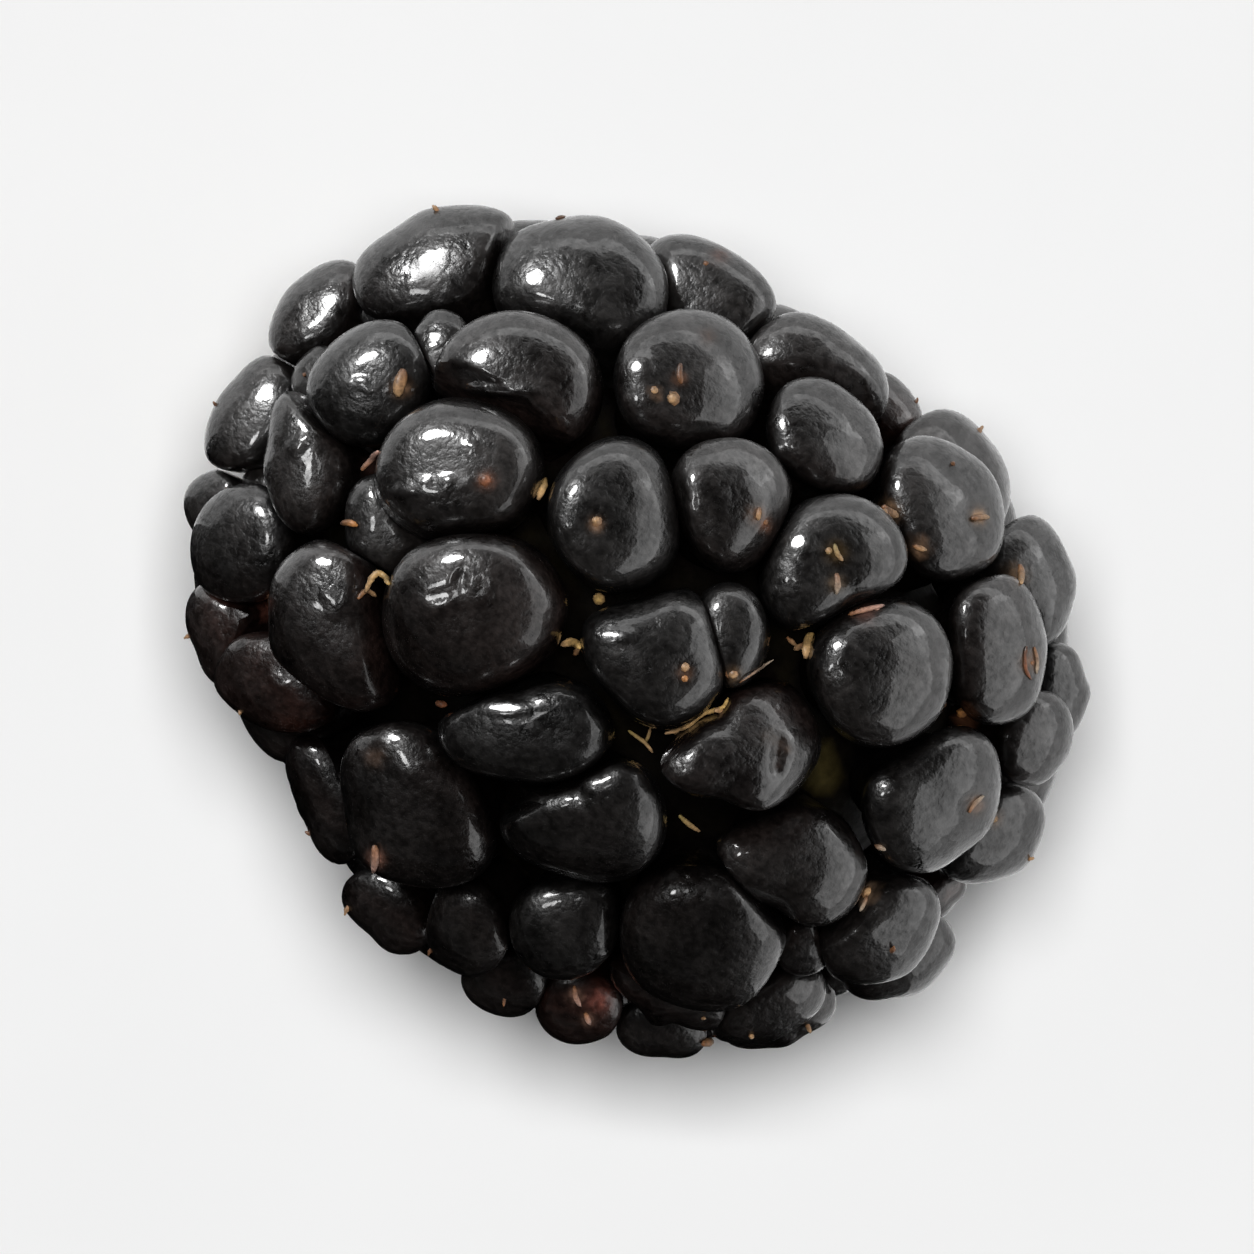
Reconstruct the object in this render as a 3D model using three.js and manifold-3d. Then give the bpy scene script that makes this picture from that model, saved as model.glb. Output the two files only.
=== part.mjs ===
// Bramble berry: one ripe compound fruit, lying on its side.
//
// Frame: millimetres. +Z is up from the surface the berry lies on, +X runs along the fruit
// from the stem end to the tip, and the origin is the middle of the bounding box's bottom.
//
// The fruit is one body. About a hundred drupelets, each a small juice-filled dome, are pressed
// against each other around a solid oval receptacle. The upper ones are flattened domes, each over
// an outline of its own; the lower ones are blunt eggs. A drupelet stops at the plane where it
// meets each neighbour, and the higher of the two keeps more of its shape. At the stem end a
// shallow dished plug shows where the stalk came away. The lowest drupelets are pressed flat
// where the berry rests.

import * as THREE from 'three';
import { mergeVertices } from 'three/addons/utils/BufferGeometryUtils.js';
import Module from 'manifold-3d';

// ---- driving dimensions, mm ----
// the curve through the drupelets' centres seen from above: mean radius, then the cosine and
// sine parts of one to four waves around the fruit
const OUTLINE = [9.512, 0.064, -0.149, 1.08, -0.131, -0.147, 0.264, -0.033, 0.127];
const HALF_HEIGHT = 8.4;       // middle of the fruit to the drupelets' centres, upward
const FULLNESS = 2.15;          // roundness over the top: 2 is an ellipse, more is squarer
const CORE_DEPTH = 1.25;        // the receptacle's surface lies this far below the drupelets' centres
const GROUND = -9.42;           // height of the resting surface, from the middle of the fruit
const SWELL = 1.045;            // how far drupelets press into each other
const DOME = 0.78;              // height of a drupelet's dome over its mean radius
const ROOT = 2.4;               // how much further a drupelet reaches inward than its dome stands out
const BLUNT = 2.4;              // exponent of a drupelet's dome
const SEAM = 0.05;              // width of the seam between two neighbours
const CREASE = 15;              // how sharply a dome turns into the seam
const STEM_AT = [-9.28, 0.32, -4.46];   // middle of the stem scar
const STEM_OUT = [-0.8124, 0.0116, -0.583]; // direction the stem pointed
const STEM_RADIUS = 2.45;
const SHIFT = [0.0215, 0.381];        // from the middle of the fruit to the frame's origin

// The drupelets on the upper side: centre x, y, z from the middle of the fruit, mean radius of
// the outline seen from above, the cosine and sine parts of its second, third and fourth waves,
// and the slope of the dome along x and y.
const UPPER = [
  [-11.16, 2.59, 0.25, 1.250, -0.326, 0.079, -0.032, 0.004, 0.054, -0.026, 0.51, -0.10],  [-9.13, 5.35, 1.81, 1.747, -0.100, 0.407, -0.007, -0.012, -0.107, -0.028, 0.43, -0.23],
  [-5.63, 6.85, 3.12, 1.973, 0.153, 0.175, -0.007, -0.014, 0.006, 0.033, 0.19, -0.31],  [-2.84, 8.37, 1.53, 1.584, 0.289, 0.003, -0.005, 0.057, 0.049, -0.006, 0.20, -0.25],
  [0.71, 8.04, 2.56, 1.649, 0.270, -0.025, 0.014, 0.044, 0.032, 0.018, -0.02, -0.37],  [2.77, 8.48, -0.25, 0.844, 0.139, -0.126, -0.002, -0.010, -0.005, -0.025, -0.04, -0.60],
  [5.08, 7.81, 0.51, 1.591, 0.145, -0.246, -0.025, 0.022, -0.013, -0.012, -0.14, -0.58],  [-11.04, -0.55, 0.25, 1.403, -0.340, -0.013, 0.004, -0.008, 0.062, 0.008, 0.40, -0.02],
  [-9.20, -0.77, 4.00, 1.367, -0.100, -0.372, 0.057, 0.038, -0.073, 0.065, 0.37, 0.08],  [-8.88, 1.83, 4.67, 1.518, -0.082, 0.060, 0.008, -0.022, 0.000, -0.000, 0.30, -0.04],
  [-7.77, 3.46, 4.55, 0.860, -0.095, -0.148, -0.044, -0.002, -0.014, 0.029, 0.27, -0.17],  [-5.67, 3.85, 6.27, 1.864, 0.136, 0.145, 0.037, -0.031, -0.013, -0.008, 0.13, -0.14],
  [-1.98, 6.23, 5.64, 1.787, 0.082, 0.050, 0.032, -0.003, 0.021, -0.001, -0.16, -0.52],  [1.67, 6.83, 5.12, 1.409, 0.178, -0.052, 0.021, 0.004, 0.008, -0.014, -0.16, -0.59],
  [5.25, 6.89, 3.86, 1.664, 0.108, -0.200, -0.046, 0.048, 0.018, -0.039, -0.28, -0.60],  [-10.71, -2.94, 0.00, 0.918, -0.060, 0.013, -0.025, 0.003, 0.012, 0.013, 0.55, 0.25],
  [-9.53, -3.50, 1.80, 1.445, -0.072, -0.062, 0.019, 0.006, 0.007, -0.005, 0.51, 0.31],  [-5.73, 1.12, 7.62, 1.821, 0.058, 0.133, 0.038, -0.013, 0.006, -0.005, 0.23, -0.07],
  [-1.76, 2.25, 8.47, 1.668, -0.033, -0.127, 0.019, -0.037, 0.011, 0.014, -0.17, -0.29],  [0.55, 4.12, 7.68, 1.478, 0.001, -0.081, -0.084, -0.005, 0.006, 0.018, -0.22, -0.34],
  [3.51, 4.24, 7.35, 1.628, -0.150, 0.175, 0.022, 0.120, 0.044, 0.014, -0.08, -0.23],  [8.23, 6.54, 1.02, 1.399, -0.061, -0.257, 0.004, 0.014, -0.060, 0.034, -0.36, -0.48],
  [8.37, 4.57, 3.88, 1.548, -0.122, -0.305, -0.014, -0.011, -0.022, 0.029, -0.53, -0.35],  [-6.41, -3.95, 5.95, 1.777, 0.028, -0.371, 0.106, -0.141, 0.039, -0.076, 0.18, 0.24],
  [-3.54, -1.78, 8.29, 1.996, 0.014, 0.113, -0.016, 0.038, 0.015, -0.002, 0.00, 0.28],  [-8.61, -5.67, 0.76, 1.269, 0.079, -0.218, -0.061, 0.005, -0.009, -0.032, 0.40, 0.44],
  [-6.97, -6.10, 1.79, 1.384, 0.278, 0.026, 0.020, 0.008, 0.034, 0.025, 0.34, 0.50],  [1.09, -0.19, 8.75, 1.595, 0.069, 0.047, -0.072, -0.115, 0.042, 0.036, -0.06, -0.16],
  [2.30, 1.17, 8.45, 1.073, -0.085, -0.145, -0.015, -0.005, -0.007, 0.019, -0.03, -0.02],  [6.11, 2.49, 7.14, 1.738, -0.014, -0.028, -0.026, -0.029, 0.013, 0.006, -0.26, -0.25],
  [10.41, 4.56, 0.00, 0.968, -0.125, -0.206, 0.031, 0.031, -0.043, 0.040, -0.52, -0.30],  [10.44, 3.16, 1.53, 1.108, -0.110, -0.047, -0.008, -0.013, 0.004, 0.022, -0.57, -0.20],
  [-0.70, -3.60, 8.09, 1.553, 0.188, 0.422, -0.019, -0.080, -0.007, 0.052, 0.13, 0.20],  [4.20, -0.98, 8.12, 1.600, -0.084, 0.237, 0.116, -0.179, -0.104, 0.047, -0.13, -0.46],
  [9.02, 0.42, 4.89, 1.692, -0.201, 0.107, -0.022, -0.068, 0.054, 0.042, -0.58, -0.10],  [10.98, 0.53, 0.51, 1.281, -0.198, 0.114, 0.050, -0.044, 0.011, -0.021, -0.60, 0.01],
  [-4.23, -7.95, 1.01, 1.130, 0.142, -0.453, -0.025, 0.001, -0.107, -0.091, 0.22, 0.56],  [-2.13, -6.84, 5.23, 1.954, 0.185, -0.218, 0.053, 0.059, 0.043, -0.042, 0.08, 0.48],
  [1.87, -4.71, 7.60, 1.584, 0.062, 0.338, -0.019, -0.205, 0.036, 0.061, -0.10, 0.50],  [6.85, -2.84, 5.73, 1.579, 0.207, 0.199, 0.009, -0.138, -0.046, 0.034, -0.23, 0.00],
  [5.87, -5.67, 5.23, 1.955, 0.024, 0.122, -0.066, -0.013, -0.026, -0.061, -0.26, 0.52],  [9.61, -3.18, 3.85, 1.441, -0.133, 0.202, -0.013, -0.053, -0.003, -0.030, -0.47, 0.21],
  [10.59, -3.48, 0.25, 1.231, -0.161, 0.213, 0.068, -0.026, -0.054, -0.039, -0.55, 0.25],  [8.12, -6.30, 2.04, 1.284, -0.082, 0.301, 0.004, -0.009, -0.061, -0.008, -0.45, 0.40],
  [8.68, -6.42, -0.51, 1.151, -0.063, 0.365, -0.032, 0.009, -0.093, -0.033, -0.45, 0.39],  [2.77, -7.34, 4.46, 1.348, -0.023, 0.083, -0.045, -0.029, 0.018, -0.018, -0.08, 0.38],
  [0.65, -8.73, 3.05, 1.157, -0.027, -0.113, 0.029, 0.011, -0.021, -0.003, 0.05, 0.60],  [2.21, -9.44, 0.76, 1.022, 0.046, 0.065, 0.020, -0.009, -0.002, 0.006, -0.04, 0.60],
  [6.30, -8.36, 0.00, 0.978, 0.121, 0.132, 0.054, 0.005, 0.015, 0.020, -0.32, 0.51],  [-1.33, -9.50, 0.76, 1.082, 0.200, -0.085, -0.023, -0.058, 0.018, -0.004, 0.14, 0.58],
  [8.19, -4.56, 3.78, 0.731, -0.006, 0.014, -0.000, -0.006, -0.000, 0.000, -0.40, 0.27],  [5.95, -7.46, 2.79, 1.047, 0.444, 0.156, -0.070, 0.172, 0.075, 0.024, -0.33, 0.50],
  [-6.46, -1.11, 5.86, 1.195, 0.067, -0.115, 0.030, 0.074, -0.020, 0.003, 0.17, 0.05],  [-10.30, 1.24, 1.62, 0.652, -0.129, -0.011, -0.008, 0.003, 0.011, 0.005, 0.59, -0.08],
  [-11.11, 0.90, -2.01, 0.580, -0.018, 0.017, 0.001, -0.003, -0.002, 0.008, 0.60, -0.05],  [-10.00, -1.98, 0.49, 0.566, -0.033, 0.010, 0.008, 0.002, 0.000, 0.005, 0.57, 0.19],
  [10.67, -1.57, -1.25, 0.578, -0.090, 0.064, -0.042, 0.016, -0.006, -0.019, -0.58, 0.15],  [4.13, -8.99, 0.50, 1.083, 0.068, 0.031, 0.001, 0.008, 0.008, 0.003, -0.18, 0.57]
];

// The drupelets below: centre x, y, z, half length, half width, and the turn of the longer axis
// about Z, in radians.
const LOWER = [
  [4.75, -6.59, -5.52, 2.12, 1.77, 1.82],  [-7.02, 6.50, -1.30, 1.79, 1.67, 0.00],  [-3.74, 7.80, -1.67, 2.00, 1.78, 2.71],  [-4.93, -3.93, -6.99, 1.75, 1.46, 2.61],
  [-5.75, 6.50, -4.38, 1.97, 1.65, 3.03],  [-5.25, -6.31, -4.55, 2.08, 1.66, 0.51],  [6.26, -2.12, -7.08, 1.81, 1.48, 2.81],  [9.72, -1.64, -2.69, 1.37, 1.10, 2.99],
  [-2.16, 7.01, -5.05, 1.69, 1.56, 0.89],  [5.77, 7.07, -2.41, 1.90, 1.53, 1.24],  [-6.43, -1.04, -7.30, 1.75, 1.67, 1.15],  [-0.29, 7.96, -1.45, 1.96, 1.70, 1.44],
  [-2.33, -5.59, -6.76, 1.79, 1.49, 1.55],  [-3.85, -7.62, -1.63, 1.73, 1.56, 1.93],  [10.15, 2.16, -1.98, 2.06, 1.74, 2.30],  [-7.23, 3.66, -6.10, 1.96, 1.76, 2.84],
  [8.79, -1.17, -5.25, 1.92, 1.62, 0.53],  [7.09, 5.36, -4.86, 1.91, 1.51, 2.67],  [-0.28, -3.32, -8.30, 1.88, 1.80, 0.60],  [7.56, -4.37, -4.98, 1.79, 1.71, 3.08],
  [2.23, -8.38, -3.76, 1.87, 1.56, 1.46],  [4.96, 0.23, -8.47, 1.27, 1.16, 1.00],  [2.60, 5.08, -7.08, 1.80, 1.53, 0.85],  [2.75, 2.50, -8.47, 1.27, 1.16, 0.80],
  [6.54, -6.90, -2.39, 1.93, 1.72, 3.07],  [8.78, 2.35, -5.26, 2.06, 1.66, 3.14],  [-9.05, 4.23, -3.04, 1.94, 1.75, 1.69],  [7.05, 0.52, -6.83, 1.29, 1.15, 2.20],
  [5.62, 3.23, -7.31, 2.11, 1.78, 2.92],  [2.07, -0.44, -8.23, 2.09, 1.82, 1.84],  [8.87, -4.14, -1.97, 1.91, 1.50, 2.59],  [-4.13, 5.02, -6.81, 1.66, 1.59, 1.89],
  [3.41, -3.85, -7.83, 1.95, 1.88, 0.84],  [1.00, 7.03, -4.97, 1.82, 1.52, 1.30],  [-6.57, -6.29, -1.43, 1.69, 1.61, 2.73],  [-7.85, -3.63, -5.28, 1.99, 1.80, 2.97],
  [-1.67, -7.88, -4.21, 2.14, 1.82, 0.72],  [-9.05, -4.04, -1.89, 1.96, 1.84, 1.83],  [8.52, 5.32, -1.86, 1.90, 1.67, 0.75],  [4.05, -8.23, -1.65, 1.38, 1.09, 2.90],
  [1.02, -6.58, -6.60, 2.08, 1.86, 1.40],  [-1.21, 1.25, -8.28, 1.99, 1.76, 0.10],  [-4.67, 1.86, -8.30, 1.98, 1.69, 0.02],  [4.15, 6.67, -4.95, 1.74, 1.44, 0.97],
  [-3.22, -1.56, -8.43, 1.67, 1.60, 1.67],  [2.68, 7.69, -2.46, 1.67, 1.49, 0.33],  [-0.76, 4.84, -7.49, 2.13, 1.78, 0.13],  [0.09, -8.71, -1.34, 1.75, 1.58, 2.20]
];

// ---- directions sampled on each drupelet, about its own outward axis ----
const UPPER_SEGMENTS = 10;
const LOWER_SEGMENTS = 8;
const RINGS = [34, 64, 94, 130];   // degrees from the outward axis

// radius of the outline at an angle around the fruit
function outline(angle) {
  let r = OUTLINE[0];
  for (let k = 1; k <= 4; k++) {
    r += OUTLINE[2 * k - 1] * Math.cos(k * angle) + OUTLINE[2 * k] * Math.sin(k * angle);
  }
  return r;
}

// 1 on the surface through the drupelets' centres, less inside and more outside
function reach(x, y, z) {
  const across = Math.hypot(x, y) / outline(Math.atan2(y, x));
  return Math.pow(Math.pow(across, FULLNESS)
    + Math.pow(Math.abs(z) / HALF_HEIGHT, FULLNESS), 1 / FULLNESS);
}

function outward(p) {
  const e = 1e-3;
  return new THREE.Vector3(
    reach(p.x + e, p.y, p.z) - reach(p.x - e, p.y, p.z),
    reach(p.x, p.y + e, p.z) - reach(p.x, p.y - e, p.z),
    reach(p.x, p.y, p.z + e) - reach(p.x, p.y, p.z - e)).normalize();
}

function smooth(a, b, x) {
  const t = Math.min(1, Math.max(0, (x - a) / (b - a)));
  return t * t * (3 - 2 * t);
}

function cellAt(x, y, z, turn) {
  const c = new THREE.Vector3(x, y, z);
  const n = outward(c);
  const e1 = new THREE.Vector3(Math.cos(turn), Math.sin(turn), 0);
  e1.addScaledVector(n, -e1.dot(n)).normalize();
  const root = 9 * (reach(x, y, z) - 1) + CORE_DEPTH + 0.9;
  return { c, n, root, e1, e2: new THREE.Vector3().crossVectors(n, e1) };
}

const cells = [
  ...UPPER.map(([x, y, z, mean, ...rest]) => ({
    ...cellAt(x, y, z, 0), segments: UPPER_SEGMENTS, mean: mean * SWELL, h: mean * DOME,
    waves: rest.slice(0, 6).map(v => v * SWELL), lean: rest.slice(6) })),
  ...LOWER.map(([x, y, z, a, b, turn]) => ({
    ...cellAt(x, y, z, turn), segments: LOWER_SEGMENTS, a: a * SWELL, b: b * SWELL,
    mean: 0.5 * (a + b), h: 0.5 * (a + b) * DOME })),
];

// the free radius of a drupelet in a direction
function free(cell, dir) {
  const w = dir.dot(cell.n);
  if (!cell.waves) {
    const u = Math.hypot(dir.dot(cell.e1) / cell.a, dir.dot(cell.e2) / cell.b);
    return Math.pow(Math.pow(u, BLUNT)
      + Math.pow((w > 0 ? w : -w / ROOT) / cell.h, BLUNT), -1 / BLUNT);
  }
  const angle = Math.atan2(dir.y, dir.x);
  let r0 = cell.mean;
  for (let k = 2; k <= 4; k++) {
    r0 += cell.waves[2 * k - 4] * Math.cos(k * angle) + cell.waves[2 * k - 3] * Math.sin(k * angle);
  }
  let up = dir.z - dir.x * cell.lean[0] - dir.y * cell.lean[1];
  if (up < 0) up /= -(1 + (ROOT - 1) * Math.max(0, cell.n.z));
  const dome = Math.pow(Math.pow(Math.hypot(dir.x, dir.y) / r0, BLUNT)
    + Math.pow(up / cell.h, BLUNT), -1 / BLUNT);
  const stalk = Math.pow((1 - w * w) / (0.8 * cell.mean) ** 2 + (w / (ROOT * cell.h)) ** 2, -0.5);
  return Math.max(dome, stalk * smooth(-0.1, -0.5, w));
}

// the planes where a drupelet meets its neighbours
cells.forEach((cell, i) => {
  cell.walls = [];
  cells.forEach((other, j) => {
    if (j === i) return;
    const to = new THREE.Vector3().subVectors(other.c, cell.c);
    const d = to.length();
    if (d > 6.5) return;
    to.divideScalar(d);
    const mine = free(cell, to);
    const theirs = free(other, to.clone().negate());
    const over = mine + theirs - d;
    const lift = Math.min(0.5, Math.max(-0.5, 0.9 * (cell.c.z - other.c.z) / d));
    const share = 0.5 + lift * smooth(-0.1, 0.3, Math.min(cell.n.z, other.n.z));
    const at = over > 0 ? mine - over * (1 - share) : mine - 0.5 * over;
    cell.walls.push({ to, at: Math.max(0.25 * d, at) - SEAM / 2 });
  });
});

function radius(cell, dir) {
  const r = free(cell, dir);
  let sum = Math.pow(r, -CREASE);
  for (const wall of cell.walls) {
    const k = dir.dot(wall.to);
    if (k > 0.02) sum += Math.pow(wall.at / k, -CREASE);
  }
  let out = Math.pow(sum, -1 / CREASE);
  // its root runs in through the receptacle's surface
  const w = dir.dot(cell.n);
  const root = Math.pow((1 - w * w) / (0.45 * cell.mean) ** 2 + (w / cell.root) ** 2, -0.5);
  out = Math.max(out, root * smooth(-0.3, -0.85, w));
  // the resting surface cuts it off square
  if (dir.z < -1e-6) out = Math.min(out, (cell.c.z - GROUND) / -dir.z);
  return out;
}

function solid(positions, triangles) {
  return new wasm.Manifold(new wasm.Mesh({
    numProp: 3, vertProperties: new Float32Array(positions), triVerts: new Uint32Array(triangles) }));
}

function solidFromGeometry(geometry) {
  geometry.deleteAttribute('normal');
  geometry.deleteAttribute('uv');
  const g = mergeVertices(geometry, 1e-4);
  return solid(g.attributes.position.array, g.index.array);
}

function cellSolid(cell) {
  const points = [];
  const n = cell.segments;
  const put = (polar, round) => {
    const dir = new THREE.Vector3()
      .addScaledVector(cell.n, Math.cos(polar))
      .addScaledVector(cell.e1, Math.sin(polar) * Math.cos(round))
      .addScaledVector(cell.e2, Math.sin(polar) * Math.sin(round));
    const p = cell.c.clone().addScaledVector(dir, radius(cell, dir));
    if (Math.abs(p.z - GROUND) < 1e-3) p.z = GROUND;
    points.push(p);
    return points.length - 1;
  };
  const top = put(0, 0);
  const rows = RINGS.map((deg, k) => Array.from({ length: n }, (_, s) =>
    put(deg * Math.PI / 180, 2 * Math.PI * (s + (k % 2) / 2) / n)));
  const bottom = put(Math.PI, 0);
  const tris = [];
  for (let s = 0; s < n; s++) {
    const t = (s + 1) % n;
    tris.push(top, rows[0][s], rows[0][t]);
    for (let k = 0; k + 1 < rows.length; k++) {
      const A = rows[k], B = rows[k + 1];
      if (k % 2 === 0) {            // the next row is half a step ahead
        tris.push(A[s], B[s], A[t]);
        tris.push(A[t], B[s], B[t]);
      } else {                      // the next row is half a step behind
        tris.push(A[s], B[s], B[t]);
        tris.push(A[s], B[t], A[t]);
      }
    }
    const L = rows[rows.length - 1];
    tris.push(bottom, L[t], L[s]);
  }
  return solid(points.flatMap(p => [p.x, p.y, p.z]), tris);
}

// ---- the receptacle: an oval under the drupelets ----
const wasm = await Module();
wasm.setup();

function receptacle() {
  const g = new THREE.IcosahedronGeometry(1, 3);
  const p = g.attributes.position;
  const v = new THREE.Vector3();
  for (let i = 0; i < p.count; i++) {
    v.fromBufferAttribute(p, i);
    v.multiplyScalar(1 / reach(v.x, v.y, v.z));
    v.addScaledVector(outward(v), -CORE_DEPTH);
    p.setXYZ(i, v.x, v.y, v.z);
  }
  return solidFromGeometry(g);
}

// ---- the stem scar: a dished plug with a small pit, on the stem axis ----
function plug() {
  const R = STEM_RADIUS;
  const profile = [
    [0, -3.2], [R * 0.9, -3.2], [R, -0.6], [R * 0.97, 0.22], [R * 0.84, 0.42],
    [R * 0.6, 0.2], [R * 0.3, 0.06], [R * 0.17, -0.1], [R * 0.12, -0.5], [0, -0.6],
  ].map(([r, y]) => new THREE.Vector2(r, y));
  const g = new THREE.LatheGeometry(profile, 14);
  const q = new THREE.Quaternion().setFromUnitVectors(
    new THREE.Vector3(0, 1, 0), new THREE.Vector3(...STEM_OUT).normalize());
  g.applyQuaternion(q);
  g.translate(...STEM_AT);
  return solidFromGeometry(g);
}

let fruit = receptacle();
fruit = fruit.add(plug());
for (const cell of cells) fruit = fruit.add(cellSolid(cell));

const mesh = fruit.getMesh();
const geometry = new THREE.BufferGeometry();
const flat = new Float32Array(mesh.vertProperties.length);
for (let i = 0; i < flat.length; i += 3) {
  flat[i] = mesh.vertProperties[i] + SHIFT[0];
  flat[i + 1] = mesh.vertProperties[i + 1] + SHIFT[1];
  const z = mesh.vertProperties[i + 2];
  flat[i + 2] = Math.abs(z - GROUND) < 2e-4 ? 0 : z - GROUND;
}
geometry.setAttribute('position', new THREE.BufferAttribute(flat, 3));
geometry.setIndex(new THREE.BufferAttribute(new Uint32Array(mesh.triVerts), 1));
geometry.computeVertexNormals();

const berry = new THREE.Mesh(geometry, new THREE.MeshStandardMaterial({
  color: 0x1c1a1a, roughness: 0.28, metalness: 0 }));
berry.name = 'berry';

const group = new THREE.Group();
group.add(berry);
export default group;
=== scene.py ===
# Bramble berry: the visual model. One ripe compound fruit lying on its side, on a pale floor,
# seen from straight above. Everything is in metres in the CAD frame; sizes below are in mm.
import math

import bpy
import numpy as np
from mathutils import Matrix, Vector
from mathutils.bvhtree import BVHTree


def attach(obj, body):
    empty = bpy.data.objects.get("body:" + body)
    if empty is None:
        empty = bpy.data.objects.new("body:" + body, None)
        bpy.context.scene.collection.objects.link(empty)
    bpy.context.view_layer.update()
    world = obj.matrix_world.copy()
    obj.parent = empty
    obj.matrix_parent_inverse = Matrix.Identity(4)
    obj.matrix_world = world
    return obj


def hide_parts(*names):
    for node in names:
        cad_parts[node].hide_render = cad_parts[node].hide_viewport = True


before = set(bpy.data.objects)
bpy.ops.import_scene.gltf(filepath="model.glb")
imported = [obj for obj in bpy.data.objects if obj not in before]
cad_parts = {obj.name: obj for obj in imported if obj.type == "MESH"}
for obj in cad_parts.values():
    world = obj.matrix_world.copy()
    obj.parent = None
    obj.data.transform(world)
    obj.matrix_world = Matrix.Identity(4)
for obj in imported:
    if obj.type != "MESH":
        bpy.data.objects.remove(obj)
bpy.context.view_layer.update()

MM = 0.001

# ---- the fruit's shape, as in the CAD model (mm, from the middle of the fruit) ----
# the curve through the drupelets' centres seen from above: mean radius, then waves around it
OUTLINE = [9.512, 0.064, -0.149, 1.08, -0.131, -0.147, 0.264, -0.033, 0.127]
HALF_HEIGHT = 8.4
FULLNESS = 2.15
CORE_DEPTH = 1.8
GROUND = -9.42
SWELL = 1.03
DOME = 0.76         # height of a drupelet's dome over its mean radius
ROOT = 2.4          # a drupelet reaches this much further inward than its dome stands out
SEAM = 0.02
CREASE = 22.0
STEM_AT = np.array([-9.28, 0.32, -4.46])
STEM_OUT = np.array([-0.8124, 0.0116, -0.583])
STEM_RADIUS = 2.45
SHIFT = np.array([0.0215, 0.381, -GROUND])

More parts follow.
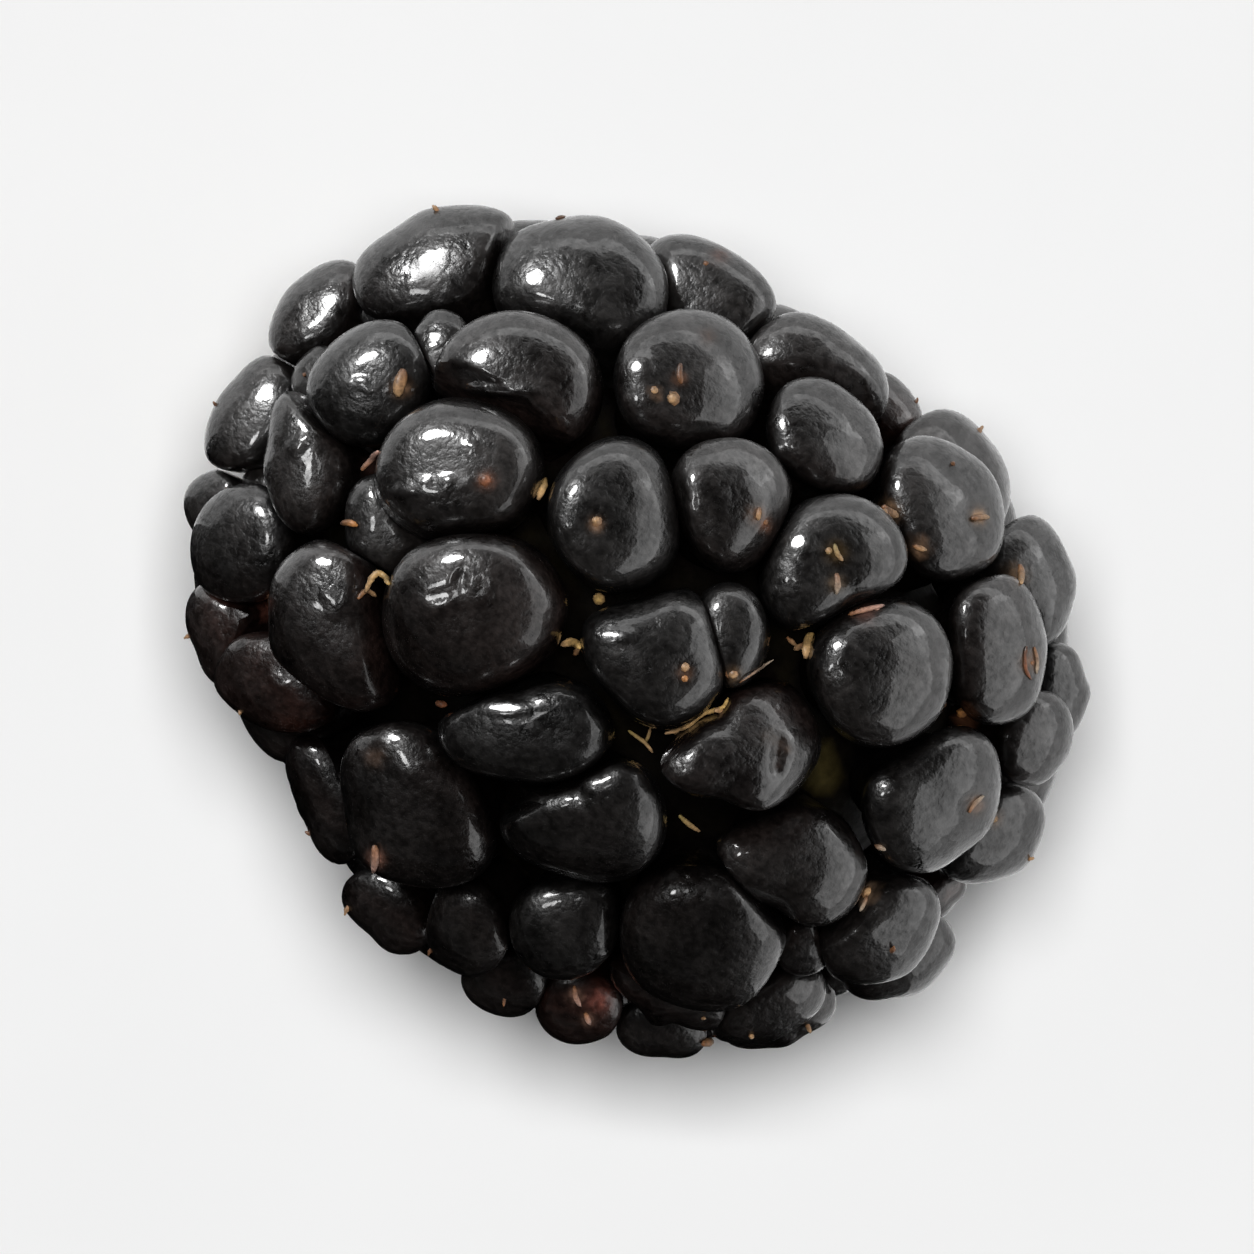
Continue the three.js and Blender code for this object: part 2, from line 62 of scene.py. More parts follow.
# the drupelets on the upper side: centre x, y, z, mean radius of the outline seen from above,
# then the cosine and sine parts of its second, third and fourth waves, then how its cap leans (slope x, y)
UPPER = [
  [-11.16, 2.59, 0.25, 1.250, -0.326, 0.079, -0.032, 0.004, 0.054, -0.026, 0.51, -0.10],  [-9.13, 5.35, 1.81, 1.747, -0.100, 0.407, -0.007, -0.012, -0.107, -0.028, 0.43, -0.23],
  [-5.63, 6.85, 3.12, 1.973, 0.153, 0.175, -0.007, -0.014, 0.006, 0.033, 0.19, -0.31],  [-2.84, 8.37, 1.53, 1.584, 0.289, 0.003, -0.005, 0.057, 0.049, -0.006, 0.20, -0.25],
  [0.71, 8.04, 2.56, 1.649, 0.270, -0.025, 0.014, 0.044, 0.032, 0.018, -0.02, -0.37],  [2.77, 8.48, -0.25, 0.844, 0.139, -0.126, -0.002, -0.010, -0.005, -0.025, -0.04, -0.60],
  [5.08, 7.81, 0.51, 1.591, 0.145, -0.246, -0.025, 0.022, -0.013, -0.012, -0.14, -0.58],  [-11.04, -0.55, 0.25, 1.403, -0.340, -0.013, 0.004, -0.008, 0.062, 0.008, 0.40, -0.02],
  [-9.20, -0.77, 4.00, 1.367, -0.100, -0.372, 0.057, 0.038, -0.073, 0.065, 0.37, 0.08],  [-8.88, 1.83, 4.67, 1.518, -0.082, 0.060, 0.008, -0.022, 0.000, -0.000, 0.30, -0.04],
  [-7.77, 3.46, 4.55, 0.860, -0.095, -0.148, -0.044, -0.002, -0.014, 0.029, 0.27, -0.17],  [-5.67, 3.85, 6.27, 1.864, 0.136, 0.145, 0.037, -0.031, -0.013, -0.008, 0.13, -0.14],
  [-1.98, 6.23, 5.64, 1.787, 0.082, 0.050, 0.032, -0.003, 0.021, -0.001, -0.16, -0.52],  [1.67, 6.83, 5.12, 1.409, 0.178, -0.052, 0.021, 0.004, 0.008, -0.014, -0.16, -0.59],
  [5.25, 6.89, 3.86, 1.664, 0.108, -0.200, -0.046, 0.048, 0.018, -0.039, -0.28, -0.60],  [-10.71, -2.94, 0.00, 0.918, -0.060, 0.013, -0.025, 0.003, 0.012, 0.013, 0.55, 0.25],
  [-9.53, -3.50, 1.80, 1.445, -0.072, -0.062, 0.019, 0.006, 0.007, -0.005, 0.51, 0.31],  [-5.73, 1.12, 7.62, 1.821, 0.058, 0.133, 0.038, -0.013, 0.006, -0.005, 0.23, -0.07],
  [-1.76, 2.25, 8.47, 1.668, -0.033, -0.127, 0.019, -0.037, 0.011, 0.014, -0.17, -0.29],  [0.55, 4.12, 7.68, 1.478, 0.001, -0.081, -0.084, -0.005, 0.006, 0.018, -0.22, -0.34],
  [3.51, 4.24, 7.35, 1.628, -0.150, 0.175, 0.022, 0.120, 0.044, 0.014, -0.08, -0.23],  [8.23, 6.54, 1.02, 1.399, -0.061, -0.257, 0.004, 0.014, -0.060, 0.034, -0.36, -0.48],
  [8.37, 4.57, 3.88, 1.548, -0.122, -0.305, -0.014, -0.011, -0.022, 0.029, -0.53, -0.35],  [-6.41, -3.95, 5.95, 1.777, 0.028, -0.371, 0.106, -0.141, 0.039, -0.076, 0.18, 0.24],
  [-3.54, -1.78, 8.29, 1.996, 0.014, 0.113, -0.016, 0.038, 0.015, -0.002, 0.00, 0.28],  [-8.61, -5.67, 0.76, 1.269, 0.079, -0.218, -0.061, 0.005, -0.009, -0.032, 0.40, 0.44],
  [-6.97, -6.10, 1.79, 1.384, 0.278, 0.026, 0.020, 0.008, 0.034, 0.025, 0.34, 0.50],  [1.09, -0.19, 8.75, 1.595, 0.069, 0.047, -0.072, -0.115, 0.042, 0.036, -0.06, -0.16],
  [2.30, 1.17, 8.45, 1.073, -0.085, -0.145, -0.015, -0.005, -0.007, 0.019, -0.03, -0.02],  [6.11, 2.49, 7.14, 1.738, -0.014, -0.028, -0.026, -0.029, 0.013, 0.006, -0.26, -0.25],
  [10.41, 4.56, 0.00, 0.968, -0.125, -0.206, 0.031, 0.031, -0.043, 0.040, -0.52, -0.30],  [10.44, 3.16, 1.53, 1.108, -0.110, -0.047, -0.008, -0.013, 0.004, 0.022, -0.57, -0.20],
  [-0.70, -3.60, 8.09, 1.553, 0.188, 0.422, -0.019, -0.080, -0.007, 0.052, 0.13, 0.20],  [4.20, -0.98, 8.12, 1.600, -0.084, 0.237, 0.116, -0.179, -0.104, 0.047, -0.13, -0.46],
  [9.02, 0.42, 4.89, 1.692, -0.201, 0.107, -0.022, -0.068, 0.054, 0.042, -0.58, -0.10],  [10.98, 0.53, 0.51, 1.281, -0.198, 0.114, 0.050, -0.044, 0.011, -0.021, -0.60, 0.01],
  [-4.23, -7.95, 1.01, 1.130, 0.142, -0.453, -0.025, 0.001, -0.107, -0.091, 0.22, 0.56],  [-2.13, -6.84, 5.23, 1.954, 0.185, -0.218, 0.053, 0.059, 0.043, -0.042, 0.08, 0.48],
  [1.87, -4.71, 7.60, 1.584, 0.062, 0.338, -0.019, -0.205, 0.036, 0.061, -0.10, 0.50],  [6.85, -2.84, 5.73, 1.579, 0.207, 0.199, 0.009, -0.138, -0.046, 0.034, -0.23, 0.00],
  [5.87, -5.67, 5.23, 1.955, 0.024, 0.122, -0.066, -0.013, -0.026, -0.061, -0.26, 0.52],  [9.61, -3.18, 3.85, 1.441, -0.133, 0.202, -0.013, -0.053, -0.003, -0.030, -0.47, 0.21],
  [10.59, -3.48, 0.25, 1.231, -0.161, 0.213, 0.068, -0.026, -0.054, -0.039, -0.55, 0.25],  [8.12, -6.30, 2.04, 1.284, -0.082, 0.301, 0.004, -0.009, -0.061, -0.008, -0.45, 0.40],
  [8.68, -6.42, -0.51, 1.151, -0.063, 0.365, -0.032, 0.009, -0.093, -0.033, -0.45, 0.39],  [2.77, -7.34, 4.46, 1.348, -0.023, 0.083, -0.045, -0.029, 0.018, -0.018, -0.08, 0.38],
  [0.65, -8.73, 3.05, 1.157, -0.027, -0.113, 0.029, 0.011, -0.021, -0.003, 0.05, 0.60],  [2.21, -9.44, 0.76, 1.022, 0.046, 0.065, 0.020, -0.009, -0.002, 0.006, -0.04, 0.60],
  [6.30, -8.36, 0.00, 0.978, 0.121, 0.132, 0.054, 0.005, 0.015, 0.020, -0.32, 0.51],  [-1.33, -9.50, 0.76, 1.082, 0.200, -0.085, -0.023, -0.058, 0.018, -0.004, 0.14, 0.58],
  [8.19, -4.56, 3.78, 0.731, -0.006, 0.014, -0.000, -0.006, -0.000, 0.000, -0.40, 0.27],  [5.95, -7.46, 2.79, 1.047, 0.444, 0.156, -0.070, 0.172, 0.075, 0.024, -0.33, 0.50],
  [-6.46, -1.11, 5.86, 1.195, 0.067, -0.115, 0.030, 0.074, -0.020, 0.003, 0.17, 0.05],  [-10.30, 1.24, 1.62, 0.652, -0.129, -0.011, -0.008, 0.003, 0.011, 0.005, 0.59, -0.08],
  [-11.11, 0.90, -2.01, 0.580, -0.018, 0.017, 0.001, -0.003, -0.002, 0.008, 0.60, -0.05],  [-10.00, -1.98, 0.49, 0.566, -0.033, 0.010, 0.008, 0.002, 0.000, 0.005, 0.57, 0.19],
  [10.67, -1.57, -1.25, 0.578, -0.090, 0.064, -0.042, 0.016, -0.006, -0.019, -0.58, 0.15],  [4.13, -8.99, 0.50, 1.083, 0.068, 0.031, 0.001, 0.008, 0.008, 0.003, -0.18, 0.57]
]
# the drupelets below: centre x, y, z, half length, half width, turn of the longer axis about Z
LOWER = [
  [4.75, -6.59, -5.52, 2.12, 1.77, 1.82],  [-7.02, 6.50, -1.30, 1.79, 1.67, 0.00],  [-3.74, 7.80, -1.67, 2.00, 1.78, 2.71],  [-4.93, -3.93, -6.99, 1.75, 1.46, 2.61],
  [-5.75, 6.50, -4.38, 1.97, 1.65, 3.03],  [-5.25, -6.31, -4.55, 2.08, 1.66, 0.51],  [6.26, -2.12, -7.08, 1.81, 1.48, 2.81],  [9.72, -1.64, -2.69, 1.37, 1.10, 2.99],
  [-2.16, 7.01, -5.05, 1.69, 1.56, 0.89],  [5.77, 7.07, -2.41, 1.90, 1.53, 1.24],  [-6.43, -1.04, -7.30, 1.75, 1.67, 1.15],  [-0.29, 7.96, -1.45, 1.96, 1.70, 1.44],
  [-2.33, -5.59, -6.76, 1.79, 1.49, 1.55],  [-3.85, -7.62, -1.63, 1.73, 1.56, 1.93],  [10.15, 2.16, -1.98, 2.06, 1.74, 2.30],  [-7.23, 3.66, -6.10, 1.96, 1.76, 2.84],
  [8.79, -1.17, -5.25, 1.92, 1.62, 0.53],  [7.09, 5.36, -4.86, 1.91, 1.51, 2.67],  [-0.28, -3.32, -8.30, 1.88, 1.80, 0.60],  [7.56, -4.37, -4.98, 1.79, 1.71, 3.08],
  [2.23, -8.38, -3.76, 1.87, 1.56, 1.46],  [4.96, 0.23, -8.47, 1.27, 1.16, 1.00],  [2.60, 5.08, -7.08, 1.80, 1.53, 0.85],  [2.75, 2.50, -8.47, 1.27, 1.16, 0.80],
  [6.54, -6.90, -2.39, 1.93, 1.72, 3.07],  [8.78, 2.35, -5.26, 2.06, 1.66, 3.14],  [-9.05, 4.23, -3.04, 1.94, 1.75, 1.69],  [7.05, 0.52, -6.83, 1.29, 1.15, 2.20],
  [5.62, 3.23, -7.31, 2.11, 1.78, 2.92],  [2.07, -0.44, -8.23, 2.09, 1.82, 1.84],  [8.87, -4.14, -1.97, 1.91, 1.50, 2.59],  [-4.13, 5.02, -6.81, 1.66, 1.59, 1.89],
  [3.41, -3.85, -7.83, 1.95, 1.88, 0.84],  [1.00, 7.03, -4.97, 1.82, 1.52, 1.30],  [-6.57, -6.29, -1.43, 1.69, 1.61, 2.73],  [-7.85, -3.63, -5.28, 1.99, 1.80, 2.97],
  [-1.67, -7.88, -4.21, 2.14, 1.82, 0.72],  [-9.05, -4.04, -1.89, 1.96, 1.84, 1.83],  [8.52, 5.32, -1.86, 1.90, 1.67, 0.75],  [4.05, -8.23, -1.65, 1.38, 1.09, 2.90],
  [1.02, -6.58, -6.60, 2.08, 1.86, 1.40],  [-1.21, 1.25, -8.28, 1.99, 1.76, 0.10],  [-4.67, 1.86, -8.30, 1.98, 1.69, 0.02],  [4.15, 6.67, -4.95, 1.74, 1.44, 0.97],
  [-3.22, -1.56, -8.43, 1.67, 1.60, 1.67],  [2.68, 7.69, -2.46, 1.67, 1.49, 0.33],  [-0.76, 4.84, -7.49, 2.13, 1.78, 0.13],  [0.09, -8.71, -1.34, 1.75, 1.58, 2.20]
]
SEEN = len(UPPER)


def outline(angle):
    r = OUTLINE[0] + 0.0 * angle
    for k in range(1, 5):
        r = r + OUTLINE[2 * k - 1] * np.cos(k * angle) + OUTLINE[2 * k] * np.sin(k * angle)
    return r


def reach(p):
    across = np.hypot(p[..., 0], p[..., 1]) / outline(np.arctan2(p[..., 1], p[..., 0]))
    return (across ** FULLNESS + np.abs(p[..., 2] / HALF_HEIGHT) ** FULLNESS) ** (1 / FULLNESS)


def outward(p):
    e = 1e-3
    g = np.stack([reach(p + d) - reach(p - d) for d in np.eye(3) * e], -1)
    return g / np.linalg.norm(g, axis=-1, keepdims=True)


def smooth(a, b, x):
    t = np.clip((x - a) / (b - a), 0, 1)
    return t * t * (3 - 2 * t)


def geodesic(f):
    """Directions and triangles of an icosahedron with each edge cut into f."""
    g = (1 + 5 ** 0.5) / 2
    v = np.array([(-1, g, 0), (1, g, 0), (-1, -g, 0), (1, -g, 0), (0, -1, g), (0, 1, g),
                  (0, -1, -g), (0, 1, -g), (g, 0, -1), (g, 0, 1), (-g, 0, -1), (-g, 0, 1)], float)
    v /= np.linalg.norm(v[0])
    t = [(0, 11, 5), (0, 5, 1), (0, 1, 7), (0, 7, 10), (0, 10, 11), (1, 5, 9), (5, 11, 4), (11, 10, 2),
         (10, 7, 6), (7, 1, 8), (3, 9, 4), (3, 4, 2), (3, 2, 6), (3, 6, 8), (3, 8, 9), (4, 9, 5),
         (2, 4, 11), (6, 2, 10), (8, 6, 7), (9, 8, 1)]
    points, faces, found = [], [], {}

    def put(p):
        p = p / np.linalg.norm(p)
        key = tuple(np.round(p, 6))
        if key not in found:
            found[key] = len(points)
            points.append(p)
        return found[key]

    for a, b, c in t:
        rows = []
        for i in range(f + 1):
            rows.append([put(v[a] * (f - i) + v[b] * (i - j) + v[c] * j) for j in range(i + 1)])
        for i in range(f):
            for j in range(i + 1):
                faces.append((rows[i][j], rows[i + 1][j], rows[i + 1][j + 1]))
                if j < i:
                    faces.append((rows[i][j], rows[i + 1][j + 1], rows[i][j + 1]))
    return np.array(points), np.array(faces)


# ---- drupelets ----
rng = np.random.default_rng(2024)
UP, LOW = np.array(UPPER, float), np.array(LOWER, float)
C = np.concatenate([UP[:, :3], LOW[:, :3]])
NORM = outward(C)
TURN = np.concatenate([np.zeros(SEEN), LOW[:, 5]])
LONG = np.stack([np.cos(TURN), np.sin(TURN), 0 * TURN], -1)
E1 = LONG - NORM * (LONG * NORM).sum(1, keepdims=True)
E1 /= np.linalg.norm(E1, axis=1, keepdims=True)
E2 = np.cross(NORM, E1)
MEAN = np.concatenate([UP[:, 3], 0.5 * (LOW[:, 3] + LOW[:, 4])])
A = np.concatenate([UP[:, 3], LOW[:, 3]]) * SWELL
B = np.concatenate([UP[:, 3], LOW[:, 4]]) * SWELL
H = MEAN * DOME
BLUNT = rng.uniform(2.3, 2.6, len(C))
LEAN = UP[:, 10:12]
# each drupelet's root runs in through the receptacle's surface
ROOTS = 9.0 * (reach(C) - 1) + CORE_DEPTH + 0.9
# soft unevenness of each drupelet: a few slow waves over its skin
WAVES = [(rng.normal(size=(4, 3)) * np.array([[1.6], [2.4], [3.4], [5.0]]), rng.uniform(0, 6.28, 4),
          np.array([0.014, 0.012, 0.008, 0.004]) * rng.uniform(0.6, 1.3)) for _ in C]


def free(i, d):
    q = BLUNT[i]
    w = d @ NORM[i]
    if i < SEEN:
        flat = np.hypot(d[..., 0], d[..., 1])
        angle = np.arctan2(d[..., 1], d[..., 0])
        r0 = UP[i, 3] + 0.0 * angle
        for k in (2, 3, 4):
            r0 = r0 + UP[i, 2 * k] * np.cos(k * angle) + UP[i, 2 * k + 1] * np.sin(k * angle)
        up = d[..., 2] - d[..., :2] @ LEAN[i]
        deep = 1 + (ROOT - 1) * max(0.0, NORM[i, 2])
        up = np.where(up > 0, up, -up / deep) / H[i]
        r = ((flat / r0) ** q + up ** q) ** (-1 / q)
        inner = ((1 - w * w) / (0.8 * MEAN[i]) ** 2 + (w / (ROOT * H[i])) ** 2) ** -0.5
        r = np.maximum(r, inner * smooth(-0.1, -0.5, w))
        r = r * (1 + 0.055 * max(0.0, NORM[i, 2]) + 0.10 * max(0.6, NORM[i, 2]) * smooth(0.1, -0.45, w))     # wider low down, where they press together
    else:
        w = np.where(w > 0, w, -w / ROOT) / H[i]
        u, v = np.abs(d @ E1[i]) / A[i], np.abs(d @ E2[i]) / B[i]
        r = ((u * u + v * v) ** (q / 2) + w ** q) ** (-1 / q)
    k, ph, amp = WAVES[i]
    return r * (1 + (np.cos(d @ k.T + ph) * amp).sum(-1))


WALLS = []
for i in range(len(C)):
    to = C - C[i]
    d = np.linalg.norm(to, axis=1)
    near = [j for j in np.argsort(d)[1:] if d[j] < 6.5]
    T, at = [], []
    for j in near:
        t = to[j] / d[j]
        mine, theirs = float(free(i, t)), float(free(j, -t))
        over = mine + theirs - d[j]
        # the higher one keeps its shape, and the lower one gives way
        mine_share = 0.5 + np.clip(0.9 * (C[i, 2] - C[j, 2]) / d[j], -0.5, 0.5) * smooth(-0.1, 0.3, min(NORM[i, 2], NORM[j, 2]))
        x = mine - over * (1 - mine_share) if over > 0 else mine - 0.5 * over
        T.append(t)
        at.append(max(0.25 * d[j], x) - SEAM / 2)
    WALLS.append((np.array(T), np.array(at)))


def radius(i, d):
    r = free(i, d)
    T, at = WALLS[i]
    k = d @ T.T
    with np.errstate(divide="ignore", invalid="ignore"):
        s = np.where(k > 0.02, (np.maximum(k, 1e-6) / at) ** CREASE, 0.0).sum(-1)
    out = (r ** -CREASE + s) ** (-1 / CREASE)
    w = d @ NORM[i]
    root = ((1 - w * w) / (0.45 * MEAN[i]) ** 2 + (w / ROOTS[i]) ** 2) ** -0.5
    out = np.maximum(out, root * smooth(-0.3, -0.85, w))
    down = -d[..., 2]
    cut = np.where(down > 1e-6, (C[i, 2] - GROUND) / np.maximum(down, 1e-6), 1e9)
    return np.minimum(out, cut)


# turns the icosahedron so that one of its corners points straight in, along the root
CORNER_IN = np.array([(1, 0, 0), (0, 0.850651, -0.525731), (0, 0.525731, 0.850651)])


def build_cells():
    verts, faces, n = [], [], 0
    fine, middle, coarse = geodesic(12), geodesic(9), geodesic(7)
    for i in range(len(C)):
        d, f = coarse if i >= SEEN else fine if MEAN[i] > 1.45 else middle
        d = d @ CORNER_IN.T + np.array([0, 0, 0.6])           # finer on the outer side
        d = d / np.linalg.norm(d, axis=1, keepdims=True)
        world = d @ np.stack([E1[i], E2[i], NORM[i]])
        p = C[i] + world * radius(i, world)[:, None]
        p[np.abs(p[:, 2] - GROUND) < 1e-3, 2] = GROUND
        verts.append(p)
        faces.append(f + n)
        n += len(p)
    return np.concatenate(verts), np.concatenate(faces)


def build_core():
    d, f = geodesic(12)
    p = d / reach(d)[:, None]
    p = p - outward(p) * CORE_DEPTH
    return p, f


def build_plug():
    R = STEM_RADIUS
    profile = [(0, -3.0), (0.9 * R, -3.0), (R, -0.6), (0.985 * R, 0.02), (0.95 * R, 0.24), (0.88 * R, 0.36),
               (0.80 * R, 0.36), (0.70 * R, 0.27), (0.56 * R, 0.17), (0.42 * R, 0.12), (0.30 * R, 0.10),
               (0.22 * R, 0.04), (0.17 * R, -0.12), (0.13 * R, -0.34), (0.08 * R, -0.48), (0, -0.52)]
    n = 72
    z = STEM_OUT / np.linalg.norm(STEM_OUT)
    x = np.cross([0, 1, 0], z); x /= np.linalg.norm(x)
    y = np.cross(z, x)
    pts, faces, rows = [], [], []
    for k, (r, h) in enumerate(profile):
        if r == 0:
            rows.append([len(pts)]); pts.append(STEM_AT + z * h)
            continue
        row = []
        for s in range(n):
            a = 2 * math.pi * s / n
            rr = r * (1 + 0.022 * math.cos(3 * a + 1) + 0.014 * math.cos(5 * a + 2.2) + 0.008 * math.cos(11 * a))
            hh = h + (0.05 * math.cos(4 * a + k * 0.7) + 0.03 * math.cos(9 * a + 1.3)) * (1 if h > -0.3 else 0)
            row.append(len(pts)); pts.append(STEM_AT + x * rr * math.cos(a) + y * rr * math.sin(a) + z * hh)
        rows.append(row)
    for r0, r1 in zip(rows, rows[1:]):
        for s in range(n):
            t = (s + 1) % n
            if len(r0) == 1: faces.append((r0[0], r1[t], r1[s]))
            elif len(r1) == 1: faces.append((r0[s], r0[t], r1[0]))
            else: faces += [(r0[s], r0[t], r1[t]), (r0[s], r1[t], r1[s])]
    return np.array(pts), np.array(faces)


def mesh_object(name, verts, faces):
    me = bpy.data.meshes.new(name)
    me.from_pydata([tuple(v) for v in verts], [], [tuple(int(i) for i in f) for f in faces])
    me.update()
    ob = bpy.data.objects.new(name, me)
    bpy.context.scene.collection.objects.link(ob)
    return ob


def joined(base, tool):
    m = base.modifiers.new("join", "BOOLEAN")
    m.operation = "UNION"
    m.solver = "MANIFOLD"
    m.object = tool
    bpy.context.view_layer.update()
    dg = bpy.context.evaluated_depsgraph_get()
    me = bpy.data.meshes.new_from_object(base.evaluated_get(dg))
    base.modifiers.clear()
    old = base.data
    base.data = me
    bpy.data.meshes.remove(old)
    bpy.data.objects.remove(tool)
    return base


berry = mesh_object("berry_skin", *build_core())
plug_pts, plug_faces = build_plug()
berry = joined(berry, mesh_object("plug", plug_pts, plug_faces))
berry = joined(berry, mesh_object("cells", *build_cells()))
me = berry.data
P = np.zeros(len(me.vertices) * 3); me.vertices.foreach_get("co", P); P = P.reshape(-1, 3)
print("berry triangles", sum(len(p.vertices) - 2 for p in me.polygons), "verts", len(P))

# ---- which drupelet each vertex is on, and where on it ----
D = np.linalg.norm(P[:, None] - C[None], axis=2)
best = np.full(len(P), 9.9)
owner = np.full(len(P), -1)
for i in range(len(C)):
    m = np.where(D[:, i] < 3.6)[0]
    v = P[m] - C[i]
    L = np.linalg.norm(v, axis=1)
    ratio = L / radius(i, v / L[:, None])
    take = ratio < best[m]
    best[m[take]] = ratio[take]
    owner[m[take]] = i
owner[best > 1.002] = -1
print("on the core", int((owner < 0).sum()))

# ---- dimples ----
# x, y, radius, depth
DIMPLES = [
    (-2.40, 5.75, 0.62, 0.10), (-2.13, 1.84, 0.40, 0.06), (3.54, 3.95, 0.54, 0.10), (1.79, -0.22, 0.42, 0.06),
    (6.06, 7.14, 0.42, 0.06), (2.66, 6.75, 0.42, 0.06), (-7.63, 0.14, 0.31, 0.03), (-3.49, -6.45, 0.56, 0.06),
    (4.80, -0.46, 0.19, 0.13), (4.92, -0.73, 0.17, 0.16), (5.06, -1.02, 0.16, 0.13), (9.18, 4.72, 0.27, 0.06),
    (9.85, 0.76, 0.37, 0.07), (-0.08, -3.29, 0.49, 0.07), (4.54, -8.55, 0.37, 0.10), (0.38, 3.42, 0.49, 0.06),
    (5.31, 5.79, 0.37, 0.05), (8.83, -2.50, 0.32, 0.05)]
for x, y, r, depth in DIMPLES:
    m = (owner >= 0) & (P[:, 2] > 0) & (np.hypot(P[:, 0] - x, P[:, 1] - y) < 3 * r)
    g = np.exp(-((P[m, 0] - x) ** 2 + (P[m, 1] - y) ** 2) / r ** 2)
    P[m] -= NORM[owner[m]] * (depth * g)[:, None]

# places where the skin lies flat and a little crumpled, and so catches a light: x, y, half length,
# half width, turn, and which way it faces
PANES = [
    (-4.49, -1.83, 0.52, 0.48, 0.56, 0), (-3.83, -1.12, 0.48, 0.48, 0.56, 0), (-6.02, 0.36, 0.89, 0.23, 0.70, 0),
    (-5.82, 3.42, 0.86, 0.16, 0.49, 0), (-6.70, -3.36, 0.32, 0.40, 0.56, 0), (-9.43, -0.53, 0.36, 0.28, 0.56, 0),
    (-5.73, 1.68, 0.22, 0.14, 0.56, 0), (-2.66, 1.38, 0.26, 0.20, 0.04, 0), (-0.16, 3.46, 0.19, 0.25, 0.74, 0),
    (-2.86, 5.03, 0.35, 0.28, 0.56, 0), (-3.30, 5.74, 0.35, 0.30, 0.56, 1), (-9.25, 4.55, 0.32, 0.17, 0.56, 0),
    (-1.51, -3.33, 0.57, 0.19, 0.51, 1), (0.42, -4.82, 0.59, 0.17, 0.49, 1), (1.33, -3.83, 0.23, 0.21, 0.56, 1),
    (-3.55, -5.54, 0.42, 0.35, 0.56, 1), (-2.85, -5.91, 0.40, 0.35, 0.56, 0), (4.47, -4.56, 0.35, 0.25, 0.56, 1),
    (2.65, -2.23, 0.42, 0.35, 0.56, 0), (-0.22, -0.39, 0.49, 0.19, 0.56, 1), (-6.85, -5.84, 0.25, 0.35, 1.08, 1),
    (4.76, 2.43, 0.33, 0.27, 0.56, 1), (4.99, 1.79, 0.36, 0.31, 0.56, 0), (2.54, 4.11, 0.33, 0.28, 0.56, 1),
    (2.87, 3.12, 0.31, 0.28, 0.56, 0), (7.64, 0.12, 0.41, 0.36, 0.56, 1), (5.37, -3.13, 0.38, 0.30, 0.56, 1),
    (0.98, 5.88, 0.31, 0.26, 0.56, 0), (-8.99, 1.52, 0.40, 0.27, 0.56, 0), (-11.28, -1.17, 0.30, 0.30, 0.56, 0),
    (-11.04, 2.11, 0.40, 0.28, 0.56, 0), (-7.42, -2.65, 0.40, 0.25, 0.56, 1)]
FACING = [(-0.282, -0.115, 0.953), (-0.445, 0.163, 0.881)]      # halfway between straight up and each light
crumple = np.random.default_rng(31)
for x, y, a, b, turn, which in PANES:
    toward = FACING[which]
    u = (P[:, 0] - x) * math.cos(turn) + (P[:, 1] - y) * math.sin(turn)
    v = (P[:, 1] - y) * math.cos(turn) - (P[:, 0] - x) * math.sin(turn)
    near = (owner >= 0) & (P[:, 2] > 2) & (np.hypot(u / a, v / b) < 1.5)
    if not near.any():
        continue
    mid = np.argmax(np.where(near & (np.hypot(P[:, 0] - x, P[:, 1] - y) < 0.2), P[:, 2], -99))
    m = near & (owner == owner[mid])
    w = 0.85 * smooth(1.5, 0.6, np.hypot(u[m] / a, v[m] / b))
    flat = P[mid, 2] - 0.01 - (toward[0] * (P[m, 0] - x) + toward[1] * (P[m, 1] - y)) / toward[2]
    k = crumple.normal(size=(5, 2)); k *= (6.28 / 0.55) / np.linalg.norm(k, axis=1, keepdims=True)
    flat = flat + (0.003 if which else 0.010) * np.cos(P[m, :2] @ k.T + crumple.uniform(0, 6.28, 5)).sum(1)
    P[m, 2] += (flat - P[m, 2]) * w

# uneven skin, which breaks a highlight up: x, y, radius, height
RUMPLES = [
    (-9.39, 5.15, 0.93, 0.009), (-5.89, 7.35, 0.80, 0.010), (-11.51, 2.37, 0.62, 0.012), (-10.74, 0.22, 0.62, 0.012)]
for x, y, r, high in RUMPLES:
    m = (owner >= 0) & (P[:, 2] > 0) & (np.hypot(P[:, 0] - x, P[:, 1] - y) < 2 * r)
    g = np.exp(-((P[m, 0] - x) ** 2 + (P[m, 1] - y) ** 2) / r ** 2)
    k = crumple.normal(size=(6, 3)); k *= (6.28 / 0.75) / np.linalg.norm(k, axis=1, keepdims=True)
    P[m] += NORM[owner[m]] * (high * g * np.cos(P[m] @ k.T + crumple.uniform(0, 6.28, 6)).sum(1) / 2)[:, None]

